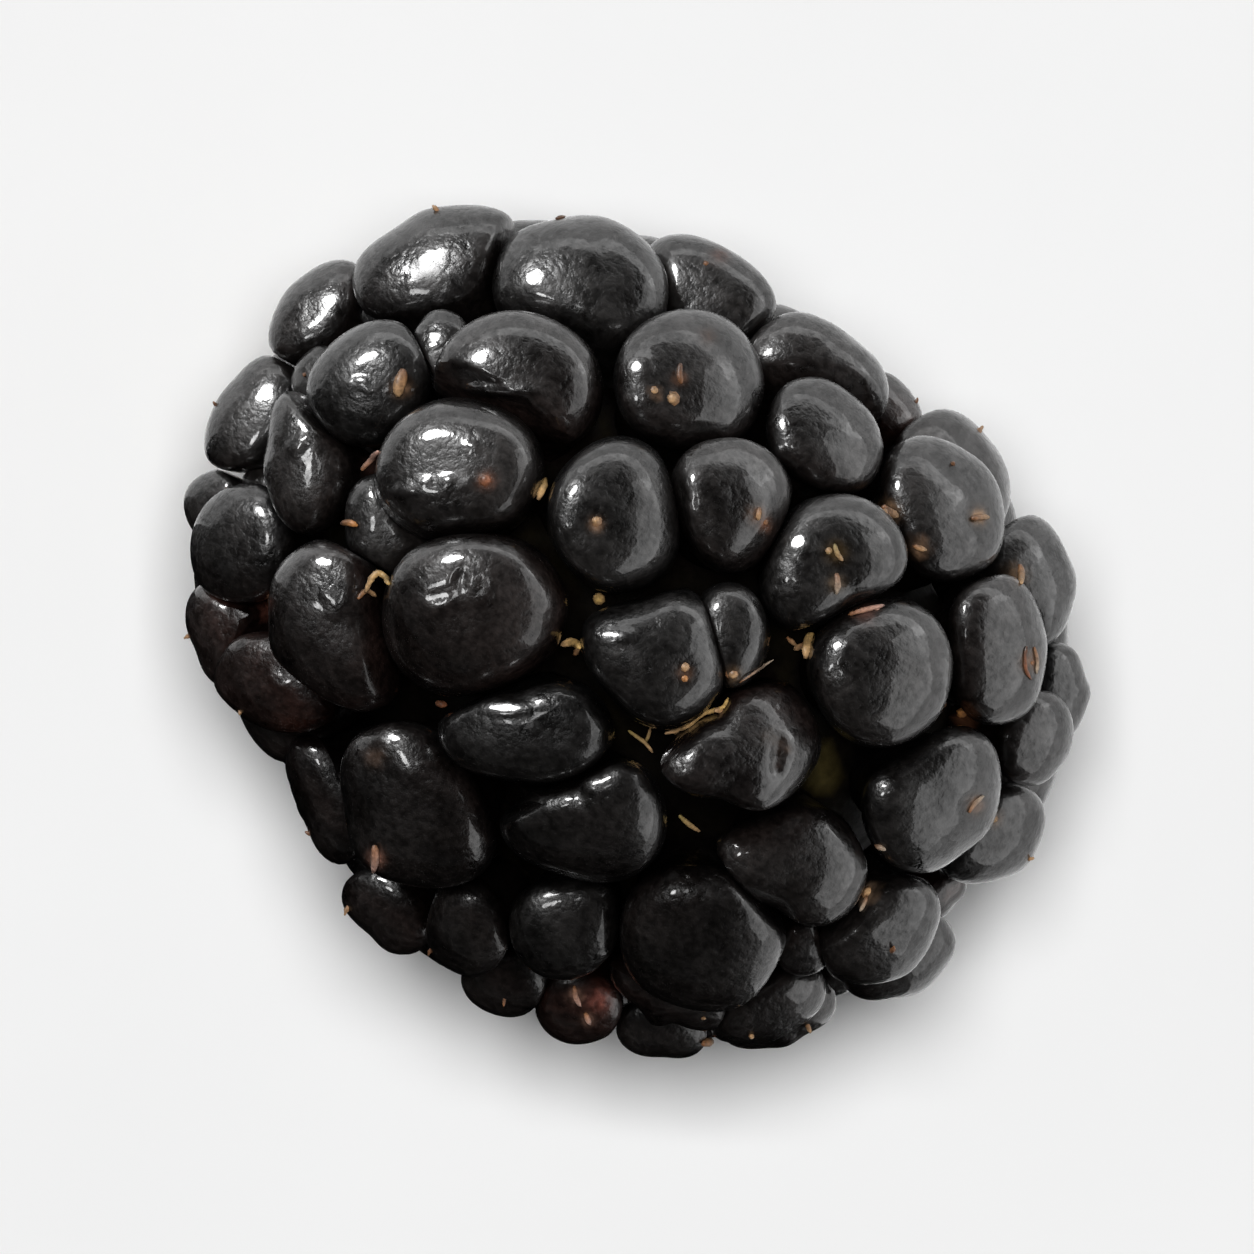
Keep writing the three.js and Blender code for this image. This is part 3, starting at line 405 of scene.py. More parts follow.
# ---- marks and hairs seen on the upper side, mm from the middle of the fruit ----
RUDDY = {26: 0.65, 25: 0.45, 36: 0.12, 23: 0.2, 24: 0.26, 5: 0.5, 57: 0.5, 40: 0.06, 56: 0.6, 37: 0.09}       # drupelets with reddish skin, and how much
SHADED_DRUPELETS = {37: 0.65, 40: 0.78, 36: 0.85}      # drupelets on the lower side painted blacker: painted shade, as from fruit lying beside them
OLIVE_AT = (6.14, -0.44)     # a patch of receptacle shows here
SPOTS = [   # x, y, radius, colour
    (-8.12, 2.09, 0.18, (0.160, 0.090, 0.050)), (-4.96, 1.23, 0.18, (0.100, 0.040, 0.022)), (-2.02, 1.77, 0.15, (0.160, 0.090, 0.050)),
    (-2.21, 6.02, 0.14, (0.100, 0.050, 0.030)), (-2.53, 5.38, 0.11, (0.120, 0.070, 0.040)), (-2.17, 7.36, 0.20, (0.035, 0.020, 0.014)),
    (1.84, -0.19, 0.17, (0.070, 0.035, 0.020)), (2.92, 0.42, 0.17, (0.090, 0.055, 0.030)), (1.25, 4.11, 0.20, (0.120, 0.070, 0.045)),
    (1.59, 4.03, 0.15, (0.100, 0.040, 0.020)), (3.47, 4.41, 0.23, (0.070, 0.042, 0.014)), (3.90, 3.73, 0.18, (0.100, 0.070, 0.045)),
    (4.11, 6.06, 0.19, (0.170, 0.100, 0.055)), (3.22, 6.08, 0.14, (0.050, 0.030, 0.020)), (6.11, 7.17, 0.18, (0.170, 0.100, 0.050)),
    (5.23, 5.67, 0.17, (0.140, 0.080, 0.045)), (7.84, 6.50, 0.20, (0.130, 0.080, 0.045)), (9.18, 4.72, 0.23, (0.130, 0.075, 0.045)),
    (8.55, 2.72, 0.18, (0.120, 0.050, 0.025)), (9.92, 0.88, 0.20, (0.120, 0.075, 0.050)), (10.67, 0.84, 0.15, (0.140, 0.090, 0.055)),
    (8.83, -2.50, 0.15, (0.130, 0.085, 0.055)), (4.54, -8.55, 0.28, (0.090, 0.028, 0.020)), (3.95, -8.78, 0.15, (0.130, 0.070, 0.050)),
    (4.54, -9.13, 0.15, (0.130, 0.070, 0.050)), (-2.27, -8.39, 0.18, (0.170, 0.080, 0.055)), (-3.65, -6.19, 0.21, (0.050, 0.030, 0.020)),
    (-2.96, -4.15, 0.17, (0.120, 0.045, 0.022)), (-3.09, 9.40, 0.23, (0.060, 0.032, 0.026)), (-8.13, -4.41, 0.17, (0.140, 0.050, 0.035)),
    (4.92, 3.50, 0.23, (0.060, 0.030, 0.024)), (0.03, 0.72, 0.01, (0.010, 0.010, 0.010)), (4.79, -0.42, 0.15, (0.014, 0.007, 0.004)),
    (4.91, -0.68, 0.15, (0.010, 0.005, 0.003)), (5.05, -0.97, 0.14, (0.012, 0.006, 0.004)), (5.07, -0.43, 0.11, (0.020, 0.011, 0.006)),
    (4.52, -0.40, 0.20, (0.022, 0.016, 0.012)), (-7.73, 0.07, 0.15, (0.100, 0.050, 0.040))]
HAIRS = [   # the points it passes over, thickness, lift, colour
    (((-8.28, 2.47), (-8.20, 2.26), (-8.15, 2.03), (-8.05, 1.88)), 0.32, 0.10, "t"), (((2.24, -1.76), (2.65, -1.36), (2.82, -0.81), (3.17, -0.45), (3.14, -0.17)), 0.12, 0.14, "g"),
    (((3.13, 0.33), (3.30, 0.73), (3.56, 1.26)), 0.06, 0.10, "w"), (((1.42, -2.20), (1.73, -2.22), (1.95, -2.23), (2.24, -2.34)), 0.10, 0.12, "o"),
    (((1.95, -2.23), (1.93, -2.03), (1.86, -1.85)), 0.09, 0.16, "o"), (((3.67, -3.34), (4.01, -3.41), (4.32, -3.41)), 0.13, 0.10, "o"),
    (((-6.09, -2.77), (-6.15, -2.44), (-6.10, -2.18), (-5.62, -2.25)), 0.16, 0.14, "g"), (((-6.15, -3.02), (-6.13, -2.71), (-5.82, -2.74)), 0.13, 0.06, "t"),
    (((-7.84, -0.22), (-7.76, 0.12), (-7.65, 0.41)), 0.14, 0.05, "p"), (((-8.26, -4.20), (-8.10, -4.39), (-7.96, -4.67)), 0.16, 0.06, "r"),
    (((-3.66, 1.53), (-3.71, 1.80), (-3.72, 2.08)), 0.18, 0.18, "g"), (((-7.51, -1.61), (-7.35, -1.47), (-7.13, -1.45)), 0.16, 0.10, "k"),
    (((-1.14, -1.25), (-0.99, -1.02), (-0.69, -1.04)), 0.21, 0.14, "g"), (((-0.74, -1.30), (-0.77, -1.02)), 0.15, 0.10, "t"),
    (((1.21, 4.30), (1.34, 4.02)), 0.14, 0.03, "t"), (((-2.40, 6.34), (-2.27, 6.05), (-2.11, 5.94)), 0.16, 0.03, "b"),
    (((4.59, 3.22), (4.84, 3.51), (5.06, 3.74), (5.21, 3.89)), 0.13, 0.08, "p"), (((4.28, 1.76), (4.14, 2.06), (4.07, 2.35)), 0.21, 0.24, "g"),
    (((4.14, 2.06), (3.99, 1.96), (3.89, 1.77)), 0.15, 0.16, "t"), (((3.58, 1.93), (3.87, 1.88)), 0.12, 0.10, "t"),
    (((3.90, 5.98), (4.11, 6.06), (4.37, 6.07)), 0.21, 0.05, "t"), (((5.97, 7.00), (6.11, 7.17), (6.31, 7.26)), 0.17, 0.04, "t"),
    (((5.08, 5.64), (5.24, 5.66), (5.40, 5.71)), 0.14, 0.04, "t"), (((7.69, 6.70), (7.86, 6.52), (7.94, 6.28)), 0.17, 0.04, "t"),
    (((8.89, 5.00), (8.99, 4.75), (9.21, 4.45), (9.44, 4.36)), 0.09, 0.01, "r"), (((9.07, 5.09), (9.32, 4.88), (9.49, 4.55)), 0.09, 0.01, "w"),
    (((9.86, 0.63), (9.85, 0.88), (9.95, 1.18)), 0.12, 0.01, "w"), (((8.86, -2.56), (8.91, -2.74), (8.91, -2.97)), 0.11, 0.03, "w"),
    (((3.31, 4.53), (3.49, 4.35), (3.70, 4.30)), 0.13, 0.03, "o"), (((3.74, 3.93), (3.91, 3.74), (4.00, 3.50)), 0.16, 0.03, "w"),
    (((3.78, -8.57), (3.95, -8.78), (4.19, -8.92)), 0.13, 0.04, "p"), (((4.39, -9.01), (4.65, -9.19)), 0.15, 0.04, "p"),
    (((-2.46, -8.08), (-2.28, -8.32), (-2.15, -8.67)), 0.21, 0.08, "p"), (((-3.08, -4.20), (-2.83, -4.11)), 0.17, 0.04, "r"),
    (((-7.11, 7.90), (-6.78, 8.31), (-6.28, 8.67), (-5.69, 8.88)), 0.10, 0.02, "b"), (((7.37, -8.11), (7.58, -7.90)), 0.21, 0.05, "t"),
    (((8.31, -1.31), (8.57, -1.27)), 0.13, 0.03, "w")]
STUBS = [   # x, y, radius, height, colour
    (-4.96, 1.23, 0.187, 0.14, "r"), (-2.06, 1.84, 0.166, 0.14, "t"), (-2.10, 5.50, 0.221, 0.14, "t"), (-2.59, 5.43, 0.138, 0.10, "t"),
    (1.77, -0.08, 0.131, 0.12, "t"), (1.91, -0.32, 0.118, 0.10, "k"), (2.91, 0.40, 0.152, 0.12, "t"), (-0.98, 0.23, 0.173, 0.24, "g"),
    (2.80, -0.84, 0.145, 0.26, "t"), (3.12, -0.51, 0.111, 0.24, "t"), (2.42, -1.60, 0.097, 0.20, "o"), (3.27, 4.33, 0.124, 0.10, "o"),
    (8.55, 2.72, 0.173, 0.20, "k"), (10.67, 0.84, 0.152, 0.10, "t"), (8.81, -2.46, 0.166, 0.12, "t"), (5.07, 3.75, 0.138, 0.12, "p"),
    (9.25, 4.73, 0.124, 0.06, "b"), (1.55, 4.10, 0.124, 0.08, "b"), (-3.26, 9.01, 0.097, 0.08, "b"), (8.00, 2.66, 0.111, 0.10, "b"),
    (3.97, 5.96, 0.138, 0.10, "t"), (-6.69, 3.06, 0.069, 0.05, "b")]
DULL = [(-9.11, 4.78, 0.33), (-8.81, 5.17, 0.35), (-8.88, 5.64, 0.27), (-9.61, 5.05, 0.20)]     # x, y, radius of places with less gloss

# ---- light and framing ----
WALL_SIDE = (0.80, 0.60)    # the paler side, in picture axes: right, up
HORIZON = (0.03, 0.85)      # brightness of the low walls on the darker and the paler side
CEILING = 0.02
FLAG = (165, 304)           # where the dark card lies, degrees round from the picture's right
# name, direction in picture axes (right, up, toward the viewer), distance, width, height, radiance, shape,
# where it shows: in gloss, on matt surfaces
CARDS = [
    ("key", (-0.51, 0.66, 0.55), 0.60, 0.20, 0.18, 56.0, "ELLIPSE", "gloss"),
    ("second", (-0.57, 0.10, 0.81), 0.60, 0.14, 0.10, 17.0, "ELLIPSE", "gloss"),
    ("third", (-0.27, 0.13, 0.95), 0.60, 0.10, 0.05, 8.0, "ELLIPSE", "gloss"),
    ("right_wall", (0.925, -0.150, 0.325), 0.50, 1.05, 0.42, 1.62, "RECTANGLE", "gloss"),
    ("top_wall", (0.30, 0.94, 0.13), 0.50, 1.00, 0.16, 1.9, "RECTANGLE", "gloss"),
    ("fill", (0.00, 0.10, 0.99), 0.70, 0.24, 0.24, 29.8, "RECTANGLE", "matt"),
]
CAM_AT = (0.0000215, 0.000381)
VIEW_WIDTH = 0.0325


# ---- into the row frame, metres ----
me.vertices.foreach_set("co", ((P + SHIFT) * MM).ravel())
me.update()

# ---- colours and surface values kept on the mesh ----
def waves(p, scale, seed, n=10):
    """A soft random field, about -1 to 1, for points in mm."""
    r = np.random.default_rng(seed)
    k = r.normal(size=(n, 3)); k /= np.linalg.norm(k, axis=1, keepdims=True)
    k *= r.uniform(0.6, 1.6, (n, 1)) * 6.28 / scale
    return np.cos(p @ k.T + r.uniform(0, 6.28, n)).sum(1) / (n ** 0.5) * 0.8


base = np.array([0.0052, 0.0046, 0.0043])
# a random tone for each drupelet, times painted shade and light: darker towards the bottom of the picture, lighter
# towards its top
tone_and_shade = rng.uniform(0.75, 1.35, len(C)) * (1 + 0.025 * (C[:, 1] * 0.847 - C[:, 0] * 0.532))
warm = rng.uniform(0.0, 1.0, len(C)) ** 2 * 0.2
for i, w in RUDDY.items():
    warm[i] = w
# painted shade: the drupelets listed here are made blacker
for i, w in SHADED_DRUPELETS.items():
    tone_and_shade[i] *= w
tint = np.empty((len(P), 3))
gloss = np.zeros(len(P))
for i in range(len(C)):
    m = owner == i
    if not m.any():
        continue
    q = P[m]
    up = ((q - C[i]) @ NORM[i]) / H[i]          # 1 at the top of the dome, 0 at its middle
    gloss[m] = smooth(-0.95, -0.40, up)
    red = warm[i] * (0.35 + 0.65 * smooth(0.75, -0.1, up + 0.25 * waves(q, 2.5, 50 + i)))
    red = np.clip(red, 0, 1)[:, None]
    # each drupelet's colour is made darker low down, towards the gaps between them: painted shade
    tint[m] = (base * tone_and_shade[i] * (1 - red) + np.array([0.024, 0.0075, 0.0045]) * red) * (0.2 + 0.8 * smooth(-0.6, 0.25, up))[:, None]
core = owner < 0
q = P[core]
olive = np.array([0.140, 0.108, 0.034])
# the receptacle where it shows in the gaps is painted near black: painted shade of the deep gaps
gap_shade = np.array([0.0018, 0.0014, 0.0010])
show = smooth(0.35, 0.95, waves(q, 3.2, 7) + 0.35 * waves(q, 0.9, 8))
spot = np.exp(-((q[:, 0] - OLIVE_AT[0]) ** 2 + (q[:, 1] - OLIVE_AT[1]) ** 2) / 0.27 ** 2) * (q[:, 2] > 0)
show = np.clip(show * 0.012 + spot * 0.75, 0, 1)[:, None]
tint[core] = gap_shade * (1 - show) + olive * show
# the stem scar: cream flesh, browner at its rim and in its pit
zs = STEM_OUT / np.linalg.norm(STEM_OUT)
rel = q - STEM_AT
along = rel @ zs
offaxis = np.linalg.norm(rel - along[:, None] * zs, axis=1)
on_scar = (offaxis < STEM_RADIUS * 1.08) & (along > -0.75)
rs = offaxis[on_scar] / STEM_RADIUS
xs = np.cross([0, 1, 0], zs); xs /= np.linalg.norm(xs); ys = np.cross(zs, xs)
ang = np.arctan2(rel[on_scar] @ ys, rel[on_scar] @ xs)
fibre = 0.5 + 0.5 * np.cos(ang * 17 + 2 * np.cos(ang * 3))
cream = np.array([0.42, 0.34, 0.15]); brown = np.array([0.10, 0.045, 0.018]); wine = np.array([0.05, 0.008, 0.008])
f = np.clip(0.55 * smooth(0.75, 1.0, rs) + 0.9 * smooth(0.24, 0.12, rs) + 0.22 * fibre * smooth(0.2, 0.7, rs), 0, 1)[:, None]
col = cream * (1 - f) + brown * f
bleed = smooth(0.62, 1.05, rs + 0.12 * waves(q[on_scar], 1.3, 12))[:, None]
col = col * (1 - bleed) + wine * bleed
idx = np.where(core)[0][on_scar]
tint[idx] = col

for x, y, r, kind in SPOTS:      # small soft brown marks where a style sat
    m = (owner >= 0) & (P[:, 2] > 0) & (np.hypot(P[:, 0] - x, P[:, 1] - y) < 3 * r)
    w = np.exp(-((P[m, 0] - x) ** 2 + (P[m, 1] - y) ** 2) / r ** 2)[:, None]
    tint[m] = tint[m] * (1 - w) + np.array(kind) * w
    gloss[m] *= 1 - 0.75 * w[:, 0]

for x, y, r in DULL:
    m = (owner >= 0) & (P[:, 2] > 0) & (np.hypot(P[:, 0] - x, P[:, 1] - y) < 3 * r)
    gloss[m] *= 1 - 0.9 * np.exp(-(((P[m, 0] - x) ** 2 + (P[m, 1] - y) ** 2) / r ** 2) ** 2)

a = me.attributes.new("tint", "FLOAT_COLOR", "POINT")
a.data.foreach_set("color", np.column_stack([tint, np.ones(len(P))]).astype(np.float32).ravel())

g = me.attributes.new("gloss", "FLOAT", "POINT")
g.data.foreach_set("value", gloss.astype(np.float32))

# ---- faces: the skin, and the receptacle where it shows ----
loops = np.zeros(len(me.loops), np.int32); me.loops.foreach_get("vertex_index", loops)
starts = np.array([p.loop_start for p in me.polygons]); totals = np.array([p.loop_total for p in me.polygons])
bare = (owner[loops] < 0).astype(float)
on = np.add.reduceat(bare, starts) / totals
me.polygons.foreach_set("use_smooth", np.ones(len(starts), bool))
me.set_sharp_from_angle(angle=math.radians(42))


def material(name, base_color, roughness):
    m = bpy.data.materials.new(name)
    m.use_nodes = True
    nt = m.node_tree
    b = nt.nodes["Principled BSDF"]
    b.inputs["Base Color"].default_value = (*base_color, 1)
    b.inputs["Roughness"].default_value = roughness
    return m, nt, b


def node(nt, kind, **inputs):
    n = nt.nodes.new(kind)
    for k, v in inputs.items():
        n.inputs[k.replace("_", " ")].default_value = v
    return n


def noise(nt, coord, scale, detail=3.0, rough=0.55):
    n = node(nt, "ShaderNodeTexNoise", Scale=scale, Detail=detail, Roughness=rough)
    nt.links.new(coord, n.inputs["Vector"])
    return n.outputs["Fac"]


def remap(nt, value, lo, hi, to_lo, to_hi):
    n = node(nt, "ShaderNodeMapRange", From_Min=lo, From_Max=hi, To_Min=to_lo, To_Max=to_hi)
    nt.links.new(value, n.inputs["Value"])
    return n.outputs["Result"]


def maths(nt, op, a, b):
    n = nt.nodes.new("ShaderNodeMath"); n.operation = op
    for s, v in zip(n.inputs, (a, b)):
        if isinstance(v, (int, float)): s.default_value = v
        else: nt.links.new(v, s)
    return n.outputs[0]


def tinted(nt, name, factor):
    """The colour kept on the mesh, made lighter and darker by factor."""
    a = nt.nodes.new("ShaderNodeAttribute"); a.attribute_name = name
    n = nt.nodes.new("ShaderNodeVectorMath"); n.operation = "SCALE"
    nt.links.new(a.outputs["Color"], n.inputs[0])
    nt.links.new(factor, n.inputs["Scale"])
    return n.outputs[0]


# ripe skin: black, a soft grey sheen under a thin gloss, with a fine pebbled grain
skin, nt, b = material("drupelet_skin", (0.012, 0.010, 0.0095), 0.4)
co = nt.nodes.new("ShaderNodeTexCoord").outputs["Object"]
fine = noise(nt, co, 5200, 2.0)
mid = noise(nt, co, 1500, 3.0)
patch = noise(nt, co, 620, 3.0, 0.6)
slow = noise(nt, co, 260, 2.0)
f = maths(nt, "MULTIPLY", remap(nt, fine, 0.34, 0.66, 0.6, 1.45), remap(nt, mid, 0.3, 0.7, 0.78, 1.25))
f = maths(nt, "MULTIPLY", f, remap(nt, patch, 0.36, 0.64, 0.55, 1.5))      # patches of bloom
nt.links.new(tinted(nt, "tint", f), b.inputs["Base Color"])
grain = maths(nt, "ADD", maths(nt, "MULTIPLY", fine, 0.5), maths(nt, "MULTIPLY", mid, 0.5))
r = maths(nt, "ADD", remap(nt, grain, 0.36, 0.64, 0.29, 0.49), remap(nt, patch, 0.36, 0.64, -0.06, 0.06))
nt.links.new(r, b.inputs["Roughness"])
b.inputs["IOR"].default_value = 1.46
b.inputs["Specular IOR Level"].default_value = 0.46
shine = nt.nodes.new("ShaderNodeAttribute"); shine.attribute_name = "gloss"
nt.links.new(maths(nt, "MULTIPLY", shine.outputs["Fac"], remap(nt, grain, 0.40, 0.60, 0.32, 1.0)), b.inputs["Coat Weight"])
b.inputs["Coat Roughness"].default_value = 0.075
b.inputs["Coat IOR"].default_value = 1.5
bump = node(nt, "ShaderNodeBump", Strength=0.6, Distance=0.00006)
h = maths(nt, "ADD", fine, maths(nt, "MULTIPLY", mid, 0.45))
nt.links.new(h, bump.inputs["Height"])
nt.links.new(bump.outputs["Normal"], b.inputs["Normal"])
cb = node(nt, "ShaderNodeBump", Strength=0.25, Distance=0.000014)
nt.links.new(maths(nt, "ADD", maths(nt, "MULTIPLY", mid, 0.3), fine), cb.inputs["Height"])
nt.links.new(cb.outputs["Normal"], b.inputs["Coat Normal"])

# the receptacle's flesh, painted near black in the gaps as painted shade, and cream on the stem scar
flesh, nt, b = material("receptacle_flesh", (0.12, 0.08, 0.03), 0.62)
co = nt.nodes.new("ShaderNodeTexCoord").outputs["Object"]
g1, g2 = noise(nt, co, 3800, 3.0), noise(nt, co, 900, 2.0)
f = maths(nt, "MULTIPLY", remap(nt, g1, 0.3, 0.7, 0.7, 1.3), remap(nt, g2, 0.3, 0.7, 0.8, 1.2))
nt.links.new(tinted(nt, "tint", f), b.inputs["Base Color"])
nt.links.new(remap(nt, g2, 0.3, 0.7, 0.5, 0.72), b.inputs["Roughness"])
b.inputs["Specular IOR Level"].default_value = 0.08
bump = node(nt, "ShaderNodeBump", Strength=0.6, Distance=0.00004)
nt.links.new(g1, bump.inputs["Height"])
nt.links.new(bump.outputs["Normal"], b.inputs["Normal"])

me.materials.clear()
me.materials.append(skin)
me.materials.append(flesh)
deep = np.add.reduceat((gloss[loops] < 0.02).astype(float), starts) / totals
me.polygons.foreach_set("material_index", ((on > 0.99) | (deep > 0.99)).astype(np.int32))
me.update()

# ---- dried styles ----
def bvh_of(ob):
    m = ob.data
    m.calc_loop_triangles()
    v = np.zeros(len(m.vertices) * 3); m.vertices.foreach_get("co", v); v = v.reshape(-1, 3) / MM - SHIFT
    t = np.zeros(len(m.loop_triangles) * 3, np.int32); m.loop_triangles.foreach_get("vertices", t)
    return BVHTree.FromPolygons([Vector(p) for p in v], [tuple(int(i) for i in f) for f in t.reshape(-1, 3)])


tree = bvh_of(berry)


def drop(p, n):
    """The point on the berry under p, looking from outside along -n, and the surface's own outward direction."""
    hit, nor, _, _ = tree.ray_cast(Vector(p + n * (16 if n[2] > 0.999 else 6)), Vector(-n))
    if hit is None:
        return None, None
    nor = np.array(nor)
    if nor @ n < 0: nor = -nor
    return np.array(hit), nor


style_v, style_f, style_c = [], [], []


def tube(points, radii, color, sides=7, flat=1.0):
    pts = np.array(points, float)
    tan = np.gradient(pts, axis=0); tan /= np.linalg.norm(tan, axis=1, keepdims=True) + 1e-12
    side = np.cross(tan[0], [0.3, 0.5, 0.81]); side /= np.linalg.norm(side)
    start = sum(len(v) for v in style_v)
    rings = []
    for k, (p, t, r) in enumerate(zip(pts, tan, radii)):
        side = side - t * (side @ t); side /= np.linalg.norm(side)
        up = np.cross(t, side)
        ring = []
        for s in range(sides):
            a = 2 * math.pi * s / sides
            ring.append(p + r * (math.cos(a) * side + flat * math.sin(a) * up))
        rings.append(ring)
    verts = [p for ring in rings for p in ring] + [pts[0] - tan[0] * radii[0] * 0.5, pts[-1] + tan[-1] * radii[-1] * 0.6]
    n = len(rings)
    faces = []
    for k in range(n - 1):
        for s in range(sides):
            t = (s + 1) % sides
            faces.append((start + k * sides + s, start + k * sides + t, start + (k + 1) * sides + t, start + (k + 1) * sides + s))
    first, last = start + n * sides, start + n * sides + 1
    for s in range(sides):
        t = (s + 1) % sides
        faces.append((first, start + t, start + s))
        faces.append((last, start + (n - 1) * sides + s, start + (n - 1) * sides + t))
    style_v.append(np.array(verts)); style_f.extend(faces)
    k = np.concatenate([np.repeat(np.linspace(0, 1, n), sides), [0, 1]])[:, None]
    style_c.append(np.array(color[0]) * (1 - k) + np.array(color[1]) * k)


TAN = (0.40, 0.245, 0.125); GOLD = (0.50, 0.32, 0.11); BROWN = (0.20, 0.09, 0.04); PINK = (0.46, 0.27, 0.21); DARK = (0.08, 0.035, 0.018)
OLIVE = (0.20, 0.15, 0.05); RUST = (0.26, 0.10, 0.05); GREY = (0.36, 0.29, 0.22); AMBER = (0.50, 0.22, 0.07)
DRY = {"t": (BROWN, TAN), "g": (TAN, GOLD), "b": (DARK, BROWN), "p": (BROWN, PINK), "o": (OLIVE, TAN),
       "r": (DARK, RUST), "w": (BROWN, GREY), "k": (BROWN, AMBER)}


def hair(points, thick, lift, colour, seed):
    """A hair laid over the berry from above, through points."""
    r = np.random.default_rng(seed)
    pts = np.array(points, float)
    seg = np.concatenate([[0], np.cumsum(np.linalg.norm(np.diff(pts, axis=0), axis=1))])
    n = max(6, int(seg[-1] / 0.075))
    s = np.linspace(0, seg[-1], n)
    x, y = np.interp(s, seg, pts[:, 0]), np.interp(s, seg, pts[:, 1])
    for _ in range(2):      # round the corners a little
        x[1:-1] = 0.5 * x[1:-1] + 0.25 * (x[:-2] + x[2:])
        y[1:-1] = 0.5 * y[1:-1] + 0.25 * (y[:-2] + y[2:])
    out = []
    for px, py in zip(x, y):
        hit, nor = drop(np.array([px, py, 0.0]), np.array([0, 0, 1.0]))
        if hit is not None:
            out.append(hit + nor * thick * 0.28)
    if len(out) < 4:
        return
    out = np.array(out)
    h = out[:, 2].copy()
    t = np.linspace(0, 1, len(out))
    want = np.maximum(h, h.max() - 1.1)         # it does not go down into the gaps
    for _ in range(6):
        want[1:-1] = np.maximum(h[1:-1], 0.5 * want[1:-1] + 0.25 * (want[:-2] + want[2:]))
    out[:, 2] = want + lift * np.sin(math.pi * np.clip(t * 0.9 + 0.08, 0, 1))
    rad = thick * 0.5 * (0.78 + 0.30 * np.sin(math.pi * t) + 0.07 * r.normal(size=len(t)))
    rad[0] *= 0.75; rad[-1] *= 0.6
    tube(out, np.maximum(rad, thick * 0.2), DRY[colour], sides=8)


def style(x0, y0, angle, length, bend, thick, lift, colour, n_up=None, seed=0, base_r=1.0):
    """A hair that starts on the skin at x0, y0 and lies over it, bending as it goes."""
    r = np.random.default_rng(seed)
    if n_up is None:
        n_up = np.array([0, 0, 1.0]); p0 = np.array([x0, y0, 0.0]); e1 = np.array([1.0, 0, 0]); e2 = np.array([0, 1.0, 0])
    else:
        p0 = np.array(x0, float)
        e1 = np.cross(n_up, [0.1, 0.2, 0.97]); e1 /= np.linalg.norm(e1); e2 = np.cross(n_up, e1)
    n = max(7, int(length / 0.14))
    pts, p, a = [], p0.copy(), angle
    for k in range(n):
        hit, nor = drop(p - n_up * (p @ n_up), n_up) if n_up[2] > 0.999 else drop(p, n_up)
        if hit is None:
            break
        pts.append(hit + nor * thick * 0.4)
        a += bend / n + r.normal() * 0.18
        p = p + (e1 * math.cos(a) + e2 * math.sin(a)) * length / n
    if len(pts) < 4:
        return
    pts = np.array(pts)
    # it is stiff: it bridges the gaps, and its end stands clear of the skin
    h = pts @ n_up
    t = np.linspace(0, 1, len(pts))
    chord = h[0] + (h[-1] - h[0]) * t
    want = np.maximum(h, chord) + lift * np.sin(t * 2.0) + 0.3 * lift * t
    for _ in range(3):
        want[1:-1] = np.maximum(want[1:-1], 0.5 * (want[:-2] + want[2:]))
    want = np.minimum(want, h.max() + lift * 1.3)
    pts = pts + n_up * (want - h)[:, None]
    rad = thick * 0.5 * (base_r + (1 - base_r) * np.minimum(1, t * 3)) * (1 - 0.55 * t) * (1 + 0.18 * r.normal(size=len(t)))
    tube(pts, np.maximum(rad, thick * 0.14), colour)


def stub(p, n, r0, h, lean, colour, seed):
    """The ragged foot of a style, standing on the skin."""
    r = np.random.default_rng(seed)
    side = np.cross(n, [0.2, 0.9, 0.4]); side /= np.linalg.norm(side)
    other = np.cross(n, side)
    k = math.cos(lean[0]) * side + math.sin(lean[0]) * other
    pts = [p - n * 0.06 + n * h * t + k * lean[1] * h * t * t for t in np.linspace(0, 1, 6)]
    rad = [r0 * v for v in (1.35, 1.0, 0.82, 0.75, 0.6, 0.32)]
    tube(pts, [max(0.02, v * (1 + 0.12 * r.normal())) for v in rad], colour, sides=8)


for k, (points, thick, lift, kind) in enumerate(HAIRS):
    hair(points, thick, lift, kind, 300 + k)
for k, (x, y, r0, hh, kind) in enumerate(STUBS):
    hit, nor = drop(np.array([x, y, 0.0]), np.array([0, 0, 1.0]))
    if hit is not None:
        r = np.random.default_rng(500 + k)
        stub(hit, nor * 0.8 + np.array([0, 0, 0.2]), r0, hh, (r.uniform(0, 6.28), r.uniform(0.1, 0.7)), DRY[kind], 700 + k)

# on the sides and the back, where nothing was measured, about as many
hid = np.random.default_rng(99)
for i in range(len(C)):
    n = NORM[i]
    if i < SEEN and n[2] > 0.45:
        continue
    rim = abs(n[2]) < 0.5          # nothing sticks out past the edge seen from above
    if C[i, 2] - H[i] < GROUND + 0.8 and n[2] < -0.8:
        continue
    off = hid.normal(size=3) * 0.5
    hit, nor = drop(C[i] + (off - n * (off @ n)), n)
    if hit is None:
        continue
    if hid.uniform() < 0.62:
        stub(hit, nor, hid.uniform(0.055, 0.09), hid.uniform(0.12, 0.2) if rim else hid.uniform(0.18, 0.45), (hid.uniform(0, 6.28), hid.uniform(0.2, 1.2)), (BROWN, TAN) if hid.uniform() < 0.6 else (DARK, BROWN), 900 + i)
    if hid.uniform() < 0.45 and not rim:
        off = hid.normal(size=3); off = off - n * (off @ n); off *= 1.5 / np.linalg.norm(off)
        style(C[i] + off, 0, hid.uniform(0, 6.28), hid.uniform(0.7, 1.9), hid.uniform(-2.2, 2.2), hid.uniform(0.09, 0.14),
              hid.uniform(0.05, 0.25), (TAN, GOLD) if hid.uniform() < 0.5 else (BROWN, TAN), n_up=n, seed=1200 + i)

